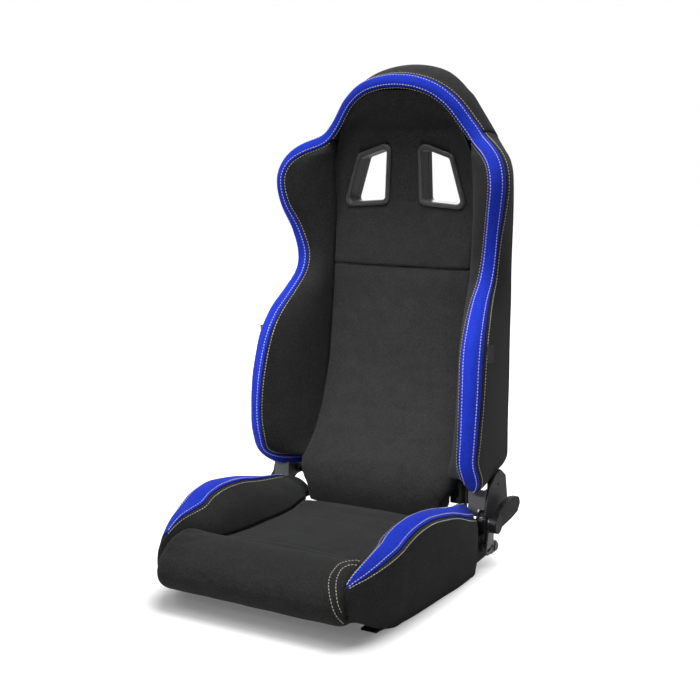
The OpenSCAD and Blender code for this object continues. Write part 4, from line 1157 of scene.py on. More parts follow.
    def cover(self, bezel: BezelSizes) -> None:
        """The rear cover, which crowns a little between its edge seam and the slots.

        Args:
            bezel: Sizes of the harness slots.
        """
        form, s = self.form, self.form.s
        edge = [(r[6], r[4]) for r in form.edge[: form.top + 1]]
        slot_low, slot_high = bezel.span()
        mesh = SlotGrid(bezel, 4, (0.2, 0.4, 0.6, 0.78, 0.9, 0.96, 0.99, 1))
        first, last = 59, 75
        zs = (steps(s.cover_low_z, slot_low, first + 1) + steps(slot_low, slot_high, last - first + 1)[1:]
              + steps(slot_high, s.cover_top_z, 22)[1:])
        front, back = [], []
        for i, z_mid in enumerate(zs):
            g = clamped(ramp(i, first, last))
            side = lookup(z_mid, edge) + 0.8
            line, rear = [], []
            for x in mesh.columns(side, g):
                z = mesh.height(x, g) if first <= i <= last else z_mid
                f = min(1.0, abs(x) / max(side, 1))
                rim = max(0.0, 1 - (1 - f) * side / 7, ramp(z_mid - s.cover_low_z, 7, 0),
                          ramp(s.cover_top_z - z_mid, 7, 0))
                crown = 1.6 * (1 - f ** 6)
                line.append(np.array([x, s.rear_y + 0.3, z]))
                rear.append(np.array([x, s.rear_y + s.cover_t + 0.3 + crown - 3.4 * rim ** 2, z]))
            front.append(line)
            back.append(rear)
        obj = slab("rear_cover_cloth", np.array(front), np.array(back), mesh.openings(first, last))
        wrinkle(obj, height=1.3, size=75, seed=6.6,
                where=lambda p: 0.0 if 0.66 < p.z < 0.83 and abs(p.x) < 0.16 else 1.0)
        self.keep(obj)

    def apron(self) -> None:
        """The cover's lower end, drawn forward under the padding."""
        half, thick = self.form.s.panel_half + self.form.s.apron_margin, 3.5
        line = np.array(self.APRON, float)
        path = [along(line, t) for t in steps(0, len(line) - 1, 20)]
        xs = steps(-half, half, 46)
        front = np.array([[(x, y, z - thick) for x in xs] for y, z in path])
        back = np.array([[(x, y, z) for x in xs] for y, z in path])
        obj = slab("cover_apron_cloth", front, back)
        wrinkle(obj, height=0.7, size=40, seed=2.2)
        self.keep(obj)

    def build(self, bezel: BezelSizes) -> dict[str, bpy.types.Object]:
        """Builds every padded piece of the backrest.

        Args:
            bezel: Sizes of the harness slots.

        Returns:
            The pieces by name.
        """
        self.flanks()
        self.strip()
        self.lower_panel()
        self.upper_panel(bezel)
        self.cover(bezel)
        self.apron()
        return self.pieces


class SeatBase(Padding):
    """The seat base's padded pieces: cushion, front roll, side bolsters and their strips."""

    FINE = 300
    PITCH = 6.0
    TAIL_ROWS = ((1.5, 0.0), (5.0, 0.0), (10.0, 0.0), (15.0, 0.0), (20.0, 0.3), (24.0, 1.5), (25.5, 3.5),
                 (26.0, 7.0))
    CUSHION_TAIL = (178, 181, 184, 188, 192, 196, 200, 210, 225, 240, 255, 264, 272, 280)

    def section(self, t: float) -> tuple[list[np.ndarray], list[np.ndarray]]:
        """Front and back line of the bolster at row t.

        Args:
            t: Row number along the edge.

        Returns:
            Front points, from the cushion's seam over the strip's bed to the hem, and as many back points.
        """
        form, s = self.form, self.form.s
        line = [drawn(form.face_point(t, f), form.core(t, 14), dip(f, 0.07, 3.8, high=False))
                for f in seam_steps(12, 0.07)]
        line += [form.edge_point(t, f, lift) for f, lift in bed_spots(s.strip_in, s.strip_out, s.trim_t)]
        line += [form.side_point(t, f) for f in seam_steps(20, 0.04)]
        return line, form.under_line(t, len(line))

    def tail(self, line: Sequence[np.ndarray], ahead: float, trim: float) -> list[np.ndarray]:
        """A line of the bolster's rear end beside the backrest.

        Args:
            line: The bolster's last line.
            ahead: Distance behind it in millimetres.
            trim: How far the end is rounded in there.

        Returns:
            The line's points.
        """
        s = self.form.s
        return [np.array([clamped(p[0], s.tail_inner + trim, s.tail_outer - trim), s.bolster_end_y + ahead,
                          clamped(p[2], s.tail_low + trim, s.tail_high - trim - ahead * 0.12)]) for p in line]

    def bolsters(self) -> None:
        """The bolster on either side, with its cover down to the hem and its end beside the backrest."""
        form, s = self.form, self.form.s
        lines = [self.section(t) for t in self.rows(0.0, float(form.last))]
        last_front, last_back = lines[-1]
        for ahead, trim in self.TAIL_ROWS:
            lines.append((self.tail(last_front, ahead, trim), self.tail(last_back, ahead, trim)))
        obj = self.pad("seat_bolster_left_cloth", lines)

        def held(p: Vector) -> float:
            """How firmly a point is held by seams and by what it rests on.

            Args:
                p: The point in metres.

            Returns:
                Firmness from 0 to 1.
            """
            x, y, z = abs(p.x) / MM, p.y / MM, p.z / MM
            r = form.row(float(np.interp(y, form.edge[:, 0], range(len(form.edge)))))
            seam = min(math.hypot(x - r[1], z - r[2]), math.hypot(x - r[3], z - r[4]))
            bed = 1.0 if r[1] - 4 < x < r[3] + 4 and z > min(r[2], r[4]) - 6 else 0.0
            low = 1.0 if z < max(s.hollow_z + 6, r[6] + 14) else 0.0
            ends = max(ramp(y, 190, 198), ramp(y, -200, -208), ramp(y, -150, -162) if x < r[1] else 0.0)
            return clamped(max(bed, ramp(seam, 14, 5), ramp(x - r[7], 11, 3), low, ends))

        stuff(obj, held, Stuffing(pressure=3.0, cap_mm=3.5))
        wrinkle(obj, height=0.8, size=55, seed=9.1, where=lambda p: 1.0 if p.z > 0.02 else 0.2)
        self.keep(obj, mirrored(obj, "seat_bolster_right_cloth"))

    def strips(self) -> None:
        """The coloured strip along each bolster; the occupant's right one ends behind the front roll."""
        form, s = self.form, self.form.s
        fs = seam_steps(12, 0.06)

        def over(t: float, f: float) -> np.ndarray:
            """A point of the strip's crowned top."""
            ends = 3.2 * max(0.0, 1 - (form.last - t) / 0.35) ** 2
            return form.strip_point(t, f, 0.8 * math.sin(math.pi * f) - dip(f, 0.08, 3.2) - ends)

        for name, start in (("seat_strip_left_cloth", s.strip_row),
                            ("seat_strip_right_cloth", s.right_strip_row)):
            ts = self.rows(start, float(form.last), 5.5)
            obj = slab(name, grid(ts, fs, over),
                       grid(ts, fs, lambda t, f: form.strip_point(t, 0.02 + 0.96 * f, -(s.trim_t + 0.8))))
            wrinkle(obj, height=0.6, size=36, seed=4.4)
            if start > s.strip_row:
                model, obj = obj, mirrored(obj, name)
                bpy.data.objects.remove(model)
                obj.name = name
            self.keep(obj)

    def cushion(self) -> None:
        """The seat cushion, from the front roll's seam to its tail under the backrest."""
        form, s = self.form, self.form.s
        ys = [s.seam_y, s.seam_y + 1, s.seam_y + 3] + steps(s.seam_y + 8, 176, 50) + list(self.CUSHION_TAIL)
        fs = [2 * f - 1 for f in seam_steps(43, 0.02)]

        def front(y: float, f: float) -> np.ndarray:
            """A point of the face, drawn in at its seams.

            Args:
                y: Depth.
                f: Place across, from -1 to 1.

            Returns:
                The point.
            """
            depth = dip((f + 1) / 2, 0.03, 5.0) + dip((y - s.seam_y) / 400, 0.02, 5.0, high=False)
            drop = depth if y < s.tail_from else 0
            return np.array([f * form.cushion_side(y), y, form.cushion_top(y, f) - drop])

        obj = slab("seat_cushion_cloth", grid(ys, fs, front),
                   grid(ys, fs, lambda y, f: np.array([f * form.cushion_side(y), y, s.cushion_low])))

        def held(p: Vector) -> float:
            """How firmly a point is held by seams and by what it rests on.

            Args:
                p: The point in metres.

            Returns:
                Firmness from 0 to 1.
            """
            x, y, z = abs(p.x) / MM, p.y / MM, p.z / MM
            near = max(sewn(s.cushion_half - x), sewn(y - s.seam_y))
            return clamped(max(near, ramp(y, 172, 181), ramp(z, 60, 57)))

        stuff(obj, held, Stuffing(pressure=3.5, cap_mm=4.0))
        wrinkle(obj, height=1.1, size=62, seed=7.7,
                where=lambda p: 1.0 if p.z > 0.072 and abs(p.x) < 0.14 else 0.0)
        self.keep(obj)

    def roll(self) -> None:
        """The padded roll across the front."""
        form, s = self.form, self.form.s
        half, cap, count = s.nose_half, s.cap_half, 34
        side = [half + 0.5] + [lerp(half, cap, math.sin(math.pi / 2 * g)) for g in steps(0, 1, 12)][1:]
        xs = [-x for x in side[::-1]] + steps(-half, half, 58) + side
        over, under = ([along(np.array(line, float), t) for t in steps(0, len(line) - 1, count)]
                       for line in (form.ROLL_OVER, form.ROLL_UNDER))

        def front(x: float, k: float) -> np.ndarray:
            """A point of the outer skin."""
            depth = dip(k / (count - 1), 0.05, 4.0, high=False) if abs(x) <= half else 0.0
            return form.roll_point(over[int(k)], x) - np.array([0, 0, depth])

        def back(x: float, k: float) -> np.ndarray:
            """A point of the skin behind."""
            return form.roll_point(under[int(k)], x)

        ks = [float(k) for k in range(count)]
        obj = slab("front_roll_cloth", grid(xs, ks, front), grid(xs, ks, back))

        def held(p: Vector) -> float:
            """How firmly a point is held by seams and by what it rests on.

            Args:
                p: The point in metres.

            Returns:
                Firmness from 0 to 1.
            """
            x, y, z = abs(p.x) / MM, p.y / MM, p.z / MM
            behind = ramp(y, -165, -156) if x > half - 3 else 0.0
            return clamped(max(ramp(cap - x, 8, 2), ramp(y, -142, -133), ramp(z, 62, 53), behind))

        stuff(obj, held, Stuffing(pressure=3.5, cap_mm=4.0))
        wrinkle(obj, height=1.0, size=50, seed=2.9, where=lambda p: 1.0 if abs(p.x) < 0.155 else 0.2)
        self.keep(obj)

    def build(self) -> dict[str, bpy.types.Object]:
        """Builds every padded piece of the seat base.

        Returns:
            The pieces by name.
        """
        self.bolsters()
        self.strips()
        self.cushion()
        self.roll()
        return self.pieces


# ---------------------------------------------------------------- sewing

class ThreadTone(Enum):
    """The two colours of sewing thread."""

    WHITE = "white_thread"
    CREAM = "cream_thread"


@dataclass(frozen=True)
class StitchSizes:
    """Sizes of one lock stitch, in millimetres."""

    length: float = 4.4
    gap: float = 1.7
    width: float = 1.35
    height: float = 0.75
    sunk: float = 0.05


@dataclass(frozen=True)
class RowPlaces:
    """Where the rows run across the strips and their borders, as fractions, and how they end."""

    back_white: tuple[float, float] = (0.2, 0.8)
    base_white: tuple[float, float] = (0.16, 0.84)
    back_inner: float = 0.2
    back_outer: float = 0.03
    head_inner: float = 0.35
    base_inner: float = 0.1
    base_outer: float = 0.75
    white_behind_roll: int = 40
    cream_behind_roll: int = 34


class Sewing:
    """Rows of topstitching laid on the finished cloth."""

    def __init__(self, sizes: StitchSizes) -> None:
        """Models the one stitch that every row repeats.

        Args:
            sizes: Sizes of one stitch.
        """
        self.s = sizes
        self.stitch = self.model()

    def model(self) -> tuple[np.ndarray, list[tuple[int, ...]]]:
        """Shapes one stitch from a cylinder: lengthwise along X, its ends drawn down into the cloth.

        Returns:
            Its points in metres and its faces.
        """
        bpy.ops.object.select_all(action="DESELECT")
        bpy.ops.mesh.primitive_cylinder_add(vertices=6, radius=0.5, depth=1.0, rotation=(0, math.pi / 2, 0))
        obj = bpy.context.object
        bpy.ops.object.transform_apply(location=True, rotation=True, scale=True)
        bpy.ops.object.mode_set(mode="EDIT")
        bpy.ops.mesh.select_all(action="SELECT")
        for x in (-0.3, 0.0, 0.3):
            bpy.ops.mesh.select_all(action="SELECT")
            bpy.ops.mesh.bisect(plane_co=(x, 0, 0), plane_no=(1, 0, 0))
        bpy.ops.object.mode_set(mode="OBJECT")
        points = np.array([v.co[:] for v in obj.data.vertices])
        end = np.abs(points[:, 0]) > 0.45
        points[end, 1:] *= 0.55
        points[end, 2] -= 0.5
        points[:, 2] += 0.12
        faces = [tuple(p.vertices) for p in obj.data.polygons]
        bpy.data.objects.remove(obj)
        return points * np.array([self.s.length, self.s.width, self.s.height * 2]) * MM, faces

    def path(self, raw: Sequence[np.ndarray], on: BVHTree, reach: float = 12.0
             ) -> list[tuple[Vector, Vector, Vector]]:
        """Places for the stitches of one row.

        Args:
            raw: Points of the row in millimetres, close to the cloth.
            on: The cloth's surface.
            reach: How far in millimetres the surface may be from a point.

        Returns:
            Place, direction along the row and direction out of the cloth, for each stitch.
        """
        line = np.array(raw, float)
        far = arc_lengths(line)
        pitch = self.s.length + self.s.gap
        out = []
        for d in np.arange(pitch / 2, far[-1] - pitch / 2, pitch):
            a, b = (np.array([np.interp(d + e, far, line[:, k]) for k in range(3)]) for e in (-2.0, 2.0))
            mid = Vector((a + b) / 2 * MM)
            near = on.find_nearest(mid, reach * MM)
            if near[0] is None:
                continue
            run = Vector(b - a)
            normal = near[1]
            run = (run - normal * run.dot(normal)).normalized()
            out.append((near[0], run, normal))
        return out

    def sew(self, name: str, places: Iterable[tuple[Vector, Vector, Vector]]) -> bpy.types.Object:
        """Lays a stitch at each place, all in one mesh.

        Args:
            name: The row's name.
            places: Place, direction along and direction out, for each stitch.

        Returns:
            The new object.
        """
        shape, faces = self.stitch
        points, all_faces = [], []
        for at, run, normal in places:
            side = normal.cross(run)
            basis = np.array([run, side, normal])
            base = len(points) * len(shape)
            points.append(shape @ basis + np.array(at) - np.array(normal) * self.s.sunk * MM)
            all_faces += [tuple(base + i for i in f) for f in faces]
        mesh = bpy.data.meshes.new(name)
        mesh.from_pydata(np.concatenate(points).tolist(), [], all_faces)
        work = bmesh.new()
        work.from_mesh(mesh)
        bmesh.ops.recalc_face_normals(work, faces=work.faces)
        work.to_mesh(mesh)
        work.free()
        mesh.polygons.foreach_set("use_smooth", [True] * len(mesh.polygons))
        obj = bpy.data.objects.new(name, mesh)
        bpy.context.scene.collection.objects.link(obj)
        return obj


class SeamPlan:
    """Where the rows of stitches run."""

    ROLL_ROWS = (((176, -166, 126), (163, -164, 124), (150, -176, 121), (148, -197, 119), (150, -218, 114),
                  (155, -235, 106), (163, -248, 96), (171, -256, 85), (178, -259, 71), (182, -253, 58),
                  (183, -235, 41)),
                 ((180, -183, 124), (171, -193, 126), (164, -204, 123), (165, -221, 117), (170, -237, 106),
                  (175, -246, 98), (181, -252, 84), (184, -250, 71), (185, -243, 60)))

    def __init__(self, back: Backrest, base: SeatBase, sewing: Sewing) -> None:
        """Keeps the padded pieces and the stitch that the rows are laid with."""
        self.back, self.base, self.sewing, self.at = back, base, sewing, RowPlaces()
        self.trees = {name: surface(obj) for name, obj in {**back.pieces, **base.pieces}.items()}

    def flip(self, line: Sequence[np.ndarray]) -> list[np.ndarray]:
        """The same line on the seat's other side."""
        return [p * np.array([-1, 1, 1]) for p in line]

    def back_rows(self) -> tuple[list, list]:
        """White rows on the backrest's strip and cream rows on the cloth beside it.

        Returns:
            The places of both.
        """
        form, sew, trees, at = self.back.form, self.sewing, self.trees, self.at
        strip_in, neck, end = form.s.strip_in, form.neck_row, 2 * form.top
        white, cream = [], []
        for g in at.back_white:
            line = [form.strip_point(t, g, 1) for t in steps(0.06, end - 0.06, 700)]
            white += sew.path(line, trees["back_strip_cloth"])
        low, high = steps(0.1, neck + 0.28, 260), steps(neck + 0.37, end - neck - 0.37, 260)
        inner = [form.edge_point(t, at.back_inner * strip_in) for t in low]
        outer = [form.side_point(t, at.back_outer) for t in low]
        for line in (inner, outer):
            cream += sew.path(line, trees["back_bolster_left_cloth"])
            cream += sew.path(self.flip(line), trees["back_bolster_right_cloth"])
        cream += sew.path([form.side_point(t, at.back_outer) for t in high], trees["head_border_cloth"])
        cream += sew.path([form.edge_point(t, at.head_inner * strip_in) for t in high],
                          trees["head_border_cloth"])
        return white, cream

    def base_rows(self) -> tuple[list, list]:
        """White rows on the base's strips and cream rows on the cloth beside them.

        Returns:
            The places of both.
        """
        form, sew, trees, at = self.base.form, self.sewing, self.trees, self.at
        ts = steps(form.s.strip_row + 0.05, form.last - 0.1, 300)
        white, cream = [], []
        for g in at.base_white:
            line = [form.strip_point(t, g, 1) for t in ts]
            white += sew.path(line, trees["seat_strip_left_cloth"])
            white += sew.path(self.flip(line[at.white_behind_roll:]), trees["seat_strip_right_cloth"])
        inner = [form.edge_point(t, at.base_inner * form.s.strip_in) for t in ts]
        outer = [form.edge_point(t, lerp(form.s.strip_out, 1, at.base_outer)) for t in ts]
        for line in (inner, outer):
            cream += sew.path(line, trees["seat_bolster_left_cloth"])
            cream += sew.path(self.flip(line[at.cream_behind_roll:]), trees["seat_bolster_right_cloth"])
        cream += self.roll_rows()
        return white, cream

    def roll_rows(self) -> list:
        """The two rows that curve round the front roll's end on the occupant's left.

        Returns:
            Their places.
        """
        out = []
        for row in self.ROLL_ROWS:
            table = np.array(row, float)
            line = [along(table, t) for t in steps(0, len(row) - 1, 90)]
            out += self.sewing.path(line, self.trees["front_roll_cloth"], 14)
        return out


# ---------------------------------------------------------------- shading

class Wire:
    """A shader socket with arithmetic, so that maths between nodes reads as a sum."""

    def __init__(self, board: "Nodes", socket: bpy.types.NodeSocket) -> None:
        """Wraps one output socket of a node tree."""
        self.board, self.socket = board, socket

    def maths(self, kind: str, *others: "Wire | float", clamp: bool = False) -> "Wire":
        """One Math node on this socket and up to two more values."""
        out = self.board.add("Math", {"operation": kind, "use_clamp": clamp}, [self, *others])
        return out["Value"]

    def __add__(self, other: "Wire | float") -> "Wire":
        """Sum."""
        return self.maths("ADD", other)

    __radd__ = __add__

    def __sub__(self, other: "Wire | float") -> "Wire":
        """Difference."""
        return self.maths("SUBTRACT", other)

    def __rsub__(self, other: float) -> "Wire":
        """Difference from a number."""
        return self * -1.0 + other

    def __mul__(self, other: "Wire | float") -> "Wire":
        """Product."""
        return self.maths("MULTIPLY", other)

    __rmul__ = __mul__

    def wave(self) -> "Wire":
        """Sine."""
        return self.maths("SINE")

    def step(self, low: float, high: float) -> "Wire":
        """0 under low, 1 over high, smooth between."""
        out = self.board.add("MapRange", {"interpolation_type": "SMOOTHSTEP"},
                             {"Value": self, "From Min": low, "From Max": high})
        return out["Result"]

    def tint(self, low: Sequence[float], high: Sequence[float]) -> "Wire":
        """A colour between two, by this value."""
        out = self.board.add("Mix", {"data_type": "RGBA"},
                             {0: self, 6: (*low, 1.0), 7: (*high, 1.0)})
        return out[2]


class Outputs:
    """A node's outputs by name or number, each wrapped for arithmetic."""

    def __init__(self, board: "Nodes", made: bpy.types.Node) -> None:
        """Keeps the node."""
        self.board, self.made = board, made

    def __getitem__(self, key: str | int) -> Wire:
        """One output."""
        return Wire(self.board, self.made.outputs[key])


class Nodes:
    """A node tree whose nodes are added by one method."""

    def __init__(self, tree: bpy.types.NodeTree) -> None:
        """Keeps the tree."""
        self.tree = tree

    def add(self, kind: str, settings: dict[str, object], inputs: object) -> Outputs:
        """Adds a node: its settings first, then its inputs.

        Args:
            kind: The node's type, without ShaderNode.
            settings: Properties to set.
            inputs: Values or wires, as a list in order or a dict by name or number.

        Returns:
            The node's outputs.
        """
        made = self.tree.nodes.new("ShaderNode" + kind)
        for key, value in settings.items():
            setattr(made, key, value)
        for key, value in inputs.items() if isinstance(inputs, dict) else enumerate(inputs):
            self.feed(made.inputs[key], value)
        return Outputs(self, made)

    def feed(self, socket: bpy.types.NodeSocket, value: object) -> None:
        """Links a wire to a socket, or sets its value.

        Args:
            socket: The socket.
            value: A wire, or the value.
        """
        if isinstance(value, Wire):
            self.tree.links.new(value.socket, socket)
        else:
            socket.default_value = value


class Board(Nodes):
    """One material's node tree, with its cloth, metal or plastic shader."""

    def __init__(self, name: str, roughness: float, metallic: float = 0.0, sheen: float = 0.0,
                 coat: float = 0.0, gloss: float = 0.5) -> None:
        """Makes the material.

        Args:
            name: The material's name.
            roughness: Roughness of its surface.
            metallic: 1 for metal.
            sheen: Weight of the cloth's soft edge light.
            coat: Weight of a clear coat.
            gloss: Level of the surface's mirror light, 0.5 for common plastic.
        """
        self.material = bpy.data.materials.new(name)
        self.material.use_nodes = True
        super().__init__(self.material.node_tree)
        self.shader = self.tree.nodes["Principled BSDF"]
        for socket, value in (("Roughness", roughness), ("Metallic", metallic), ("Sheen Weight", sheen),
                              ("Sheen Roughness", 0.45), ("Coat Weight", coat),
                              ("Specular IOR Level", gloss)):
            self.set(socket, value)

    def place(self, which: str = "Object") -> Wire:
        """Object coordinates in metres, or the cloth's own map."""
        if which == "Object":
            return self.add("TexCoord", {}, [])["Object"]
        return self.add("UVMap", {"uv_map": which}, [])["UV"]

    def axes(self, vector: Wire) -> tuple[Wire, Wire, Wire]:
        """The three parts of a vector."""
        out = self.add("SeparateXYZ", {}, [vector])
        return out[0], out[1], out[2]

    def noise(self, scale: float, detail: float = 3.0, rough: float = 0.5, at: Wire | None = None) -> Wire:
        """Noise of a scale in patterns per metre, from 0 to 1."""
        out = self.add("TexNoise", {"noise_dimensions": "3D"},
                       {"Vector": at or self.place(), "Scale": scale, "Detail": detail, "Roughness": rough})
        return out["Fac"]

    def bump(self, height: Wire, distance: float, strength: float = 1.0, under: Wire | None = None) -> Wire:
        """A normal from a height in the range 0 to 1.

        Args:
            height: The height.
            distance: Its full size in metres.
            strength: How much of it counts.
            under: A coarser normal below it.

        Returns:
            The normal.
        """
        inputs: dict[str, object] = {"Height": height, "Distance": distance, "Strength": strength}
        if under:
            inputs["Normal"] = under
        return self.add("Bump", {}, inputs)["Normal"]

    def set(self, socket: str, value: object) -> None:
        """Feeds one input of the shader."""
        self.feed(self.shader.inputs[socket], value)


@dataclass(frozen=True)
class Cloth:
    """Knitted seat cloth: two tones of yarn in a fine square weave, slightly mottled."""

    name: str
    yarn: tuple[float, float, float]
    shade: tuple[float, float, float]
    pitch: float = 1.5
    relief: float = 0.00022
    roughness: float = 0.88
    sheen: float = 0.06
    gloss: float = 0.2

    def make(self) -> bpy.types.Material:
        """Builds the material.

        Returns:
            The material.
        """
        board = Board(self.name, self.roughness, sheen=self.sheen, gloss=self.gloss)
        turns = 2 * math.pi / (self.pitch * MM)
        u, v, _ = board.axes(board.place("cloth"))
        wobble = board.noise(260.0, 2.0) * 0.9
        a, b = (u * turns + wobble).wave(), (v * turns + wobble).wave()
        diagonal = ((u + v) * (turns * 0.5)).wave()
        knit = a * b * 0.38 + diagonal * 0.12 + 0.5
        fuzz = board.noise(900.0, 3.0, 0.6)
        grain = board.noise(330.0, 3.0, 0.7)
        mottle = board.noise(38.0, 5.0, 0.62)
        tone = (knit * 0.4 + fuzz * 0.3 + grain * 1.3 + mottle * 0.5 - 0.85).maths("ADD", 0.0, clamp=True)
        board.set("Base Color", tone.tint(self.shade, self.yarn))
        board.set("Roughness", mottle * 0.12 + (self.roughness - 0.06))
        soft = board.bump(board.noise(22.0, 3.0), 0.0012, 0.35)
        board.set("Normal", board.bump(knit + fuzz * 0.35, self.relief, 0.7, soft))
        return board.material


@dataclass(frozen=True)
class Webbing:
    """Woven elastic strap: ribs across its width."""

    name: str
    yarn: tuple[float, float, float]
    shade: tuple[float, float, float]
    axis: int = 0
    pitch: float = 2.2

    def make(self) -> bpy.types.Material:
        """Builds the material.

        Returns:
            The material.
        """
        board = Board(self.name, 0.8, sheen=0.15)
        x, y, z = board.axes(board.place())
        along_it = (x, y, z)[self.axis]
        other = (x, y, z)[(self.axis + 1) % 3] + (x, y, z)[(self.axis + 2) % 3]
        ribs = (along_it * (2 * math.pi / (self.pitch * MM))).wave() * 0.5 + 0.5
        rows = (other * (2 * math.pi / (self.pitch * 1.4 * MM))).wave() * 0.25 + 0.5
        fuzz = board.noise(700.0, 3.0)
        board.set("Base Color", (ribs * 0.5 + rows * 0.3 + fuzz * 0.3).tint(self.shade, self.yarn))
        board.set("Normal", board.bump(ribs + rows, 0.00035, 0.8))
        return board.material


@dataclass(frozen=True)
class Thread:
    """Twisted sewing thread."""

    name: str
    tone: tuple[float, float, float]

    def make(self) -> bpy.types.Material:
        """Builds the material.

        Returns:
            The material.
        """
        board = Board(self.name, 0.6, sheen=0.2, gloss=0.4)
        x, y, z = board.axes(board.place())
        twist = ((x * 0.7 + y * 0.4 + z) * (2 * math.pi / (0.9 * MM))).wave() * 0.5 + 0.5
        dark = tuple(c * 0.66 for c in self.tone)
        board.set("Base Color", (twist * 0.4 + board.noise(120.0) * 0.6).tint(dark, self.tone))
        board.set("Normal", board.bump(twist, 0.0001, 0.6))
        return board.material


@dataclass(frozen=True)
class Plastic:
    """Moulded plastic with a fine grain and a clouded tone."""

    name: str
    tone: tuple[float, float, float]
    roughness: float = 0.42
    gloss: float = 0.5
    grain: float = 1500.0

    def make(self) -> bpy.types.Material:
        """Builds the material.

        Returns:
            The material.
        """
        board = Board(self.name, self.roughness, gloss=self.gloss)
        grain = board.noise(self.grain, 2.0, 0.7)
        cloud = board.noise(30.0, 4.0)
        light = tuple(c * 1.7 + 0.006 for c in self.tone)
        board.set("Base Color", (cloud * 0.6 + grain * 0.25).tint(self.tone, light))
        board.set("Roughness", cloud * 0.16 + grain * 0.1 + (self.roughness - 0.12))
        board.set("Normal", board.bump(grain.step(0.35, 0.65), 0.00006, 0.5))
        return board.material


@dataclass(frozen=True)
class Painted:
    """Powder-coated steel: slight orange peel, dust-dulled patches."""

    name: str
    tone: tuple[float, float, float]
    roughness: float = 0.45

    def make(self) -> bpy.types.Material:
        """Builds the material.

        Returns:
            The material.
        """
        board = Board(self.name, self.roughness, coat=0.04, gloss=0.28)
        peel = board.noise(520.0, 2.0)
        cloud = board.noise(24.0, 5.0, 0.6)
        light = tuple(c * 1.45 + 0.008 for c in self.tone)
        board.set("Base Color", (cloud * 0.8 + peel * 0.15).tint(self.tone, light))
        board.set("Roughness", cloud * 0.2 + (self.roughness - 0.1))
        board.set("Normal", board.bump(peel, 0.00012, 0.35))
        return board.material


@dataclass(frozen=True)
class Metal:
    """Bare or plated steel: turned or rolled lines along one axis, with tarnish."""

    name: str
    tone: tuple[float, float, float]
    roughness: float = 0.34
    axis: int = 0

    def make(self) -> bpy.types.Material:
        """Builds the material.

        Returns:
            The material.
        """
        board = Board(self.name, self.roughness, metallic=1.0)
        x, y, z = board.axes(board.place())
        across = (x, y, z)[self.axis]
        lined = board.add("CombineXYZ", {}, [across * 60.0, x * 2.0 + y, z * 2.0])["Vector"]
        lines = board.noise(90.0, 3.0, 0.6, lined)
        tarnish = board.noise(46.0, 5.0, 0.65)
        dark = tuple(c * 0.62 for c in self.tone)
        board.set("Base Color", (lines * 0.35 + tarnish * 0.65).tint(dark, self.tone))
        board.set("Roughness", lines * 0.16 + tarnish * 0.18 + (self.roughness - 0.14))
        board.set("Normal", board.bump(lines, 0.00005, 0.4))
        return board.material


class Finish(Enum):
    """Every finish on the seat."""

    BLACK_CLOTH = Cloth("black_cloth", (0.046, 0.046, 0.0465), (0.008, 0.008, 0.0082))
    BLUE_CLOTH = Cloth("blue_cloth", (0.014, 0.052, 0.70), (0.006, 0.020, 0.34), pitch=1.3, sheen=0.04)
    COVER_CLOTH = Cloth("cover_cloth", (0.030, 0.030, 0.031), (0.009, 0.009, 0.0095), pitch=2.0)
    TAG_CLOTH = Webbing("tag_cloth", (0.035, 0.035, 0.037), (0.01, 0.01, 0.011), axis=2, pitch=0.9)
    STRAP = Webbing("strap_web", (0.06, 0.06, 0.066), (0.018, 0.018, 0.02))
    PLASTIC = Plastic("black_plastic", (0.040, 0.040, 0.041), 0.32)
    GRIP = Plastic("grip_plastic", (0.007, 0.007, 0.0075), 0.40, 0.22)
    BLACK_STEEL = Painted("black_steel", (0.012, 0.012, 0.013))
    FRAME_STEEL = Painted("frame_steel", (0.10, 0.10, 0.102), 0.42)
    BARE_STEEL = Metal("bare_steel", (0.30, 0.30, 0.30), 0.36)
    SPRING_STEEL = Metal("spring_steel", (0.10, 0.10, 0.105), 0.42)
    WHITE_THREAD = Thread("white_thread", (0.90, 0.90, 0.93))
    CREAM_THREAD = Thread("cream_thread", (0.80, 0.76, 0.62))


class Wardrobe:
    """Makes each finish once and puts it on pieces."""

    def __init__(self) -> None:
        """Starts with no finish made."""
        self.made: dict[Finish, bpy.types.Material] = {}

    def dress(self, obj: bpy.types.Object, finish: Finish) -> None:
        """Puts a finish on a piece, in place of what it has.

        Args:
            obj: The piece.
            finish: The finish.
        """
        if finish not in self.made:
            self.made[finish] = finish.value.make()
        obj.data.materials.clear()
        obj.data.materials.append(self.made[finish])


# ---------------------------------------------------------------- tags

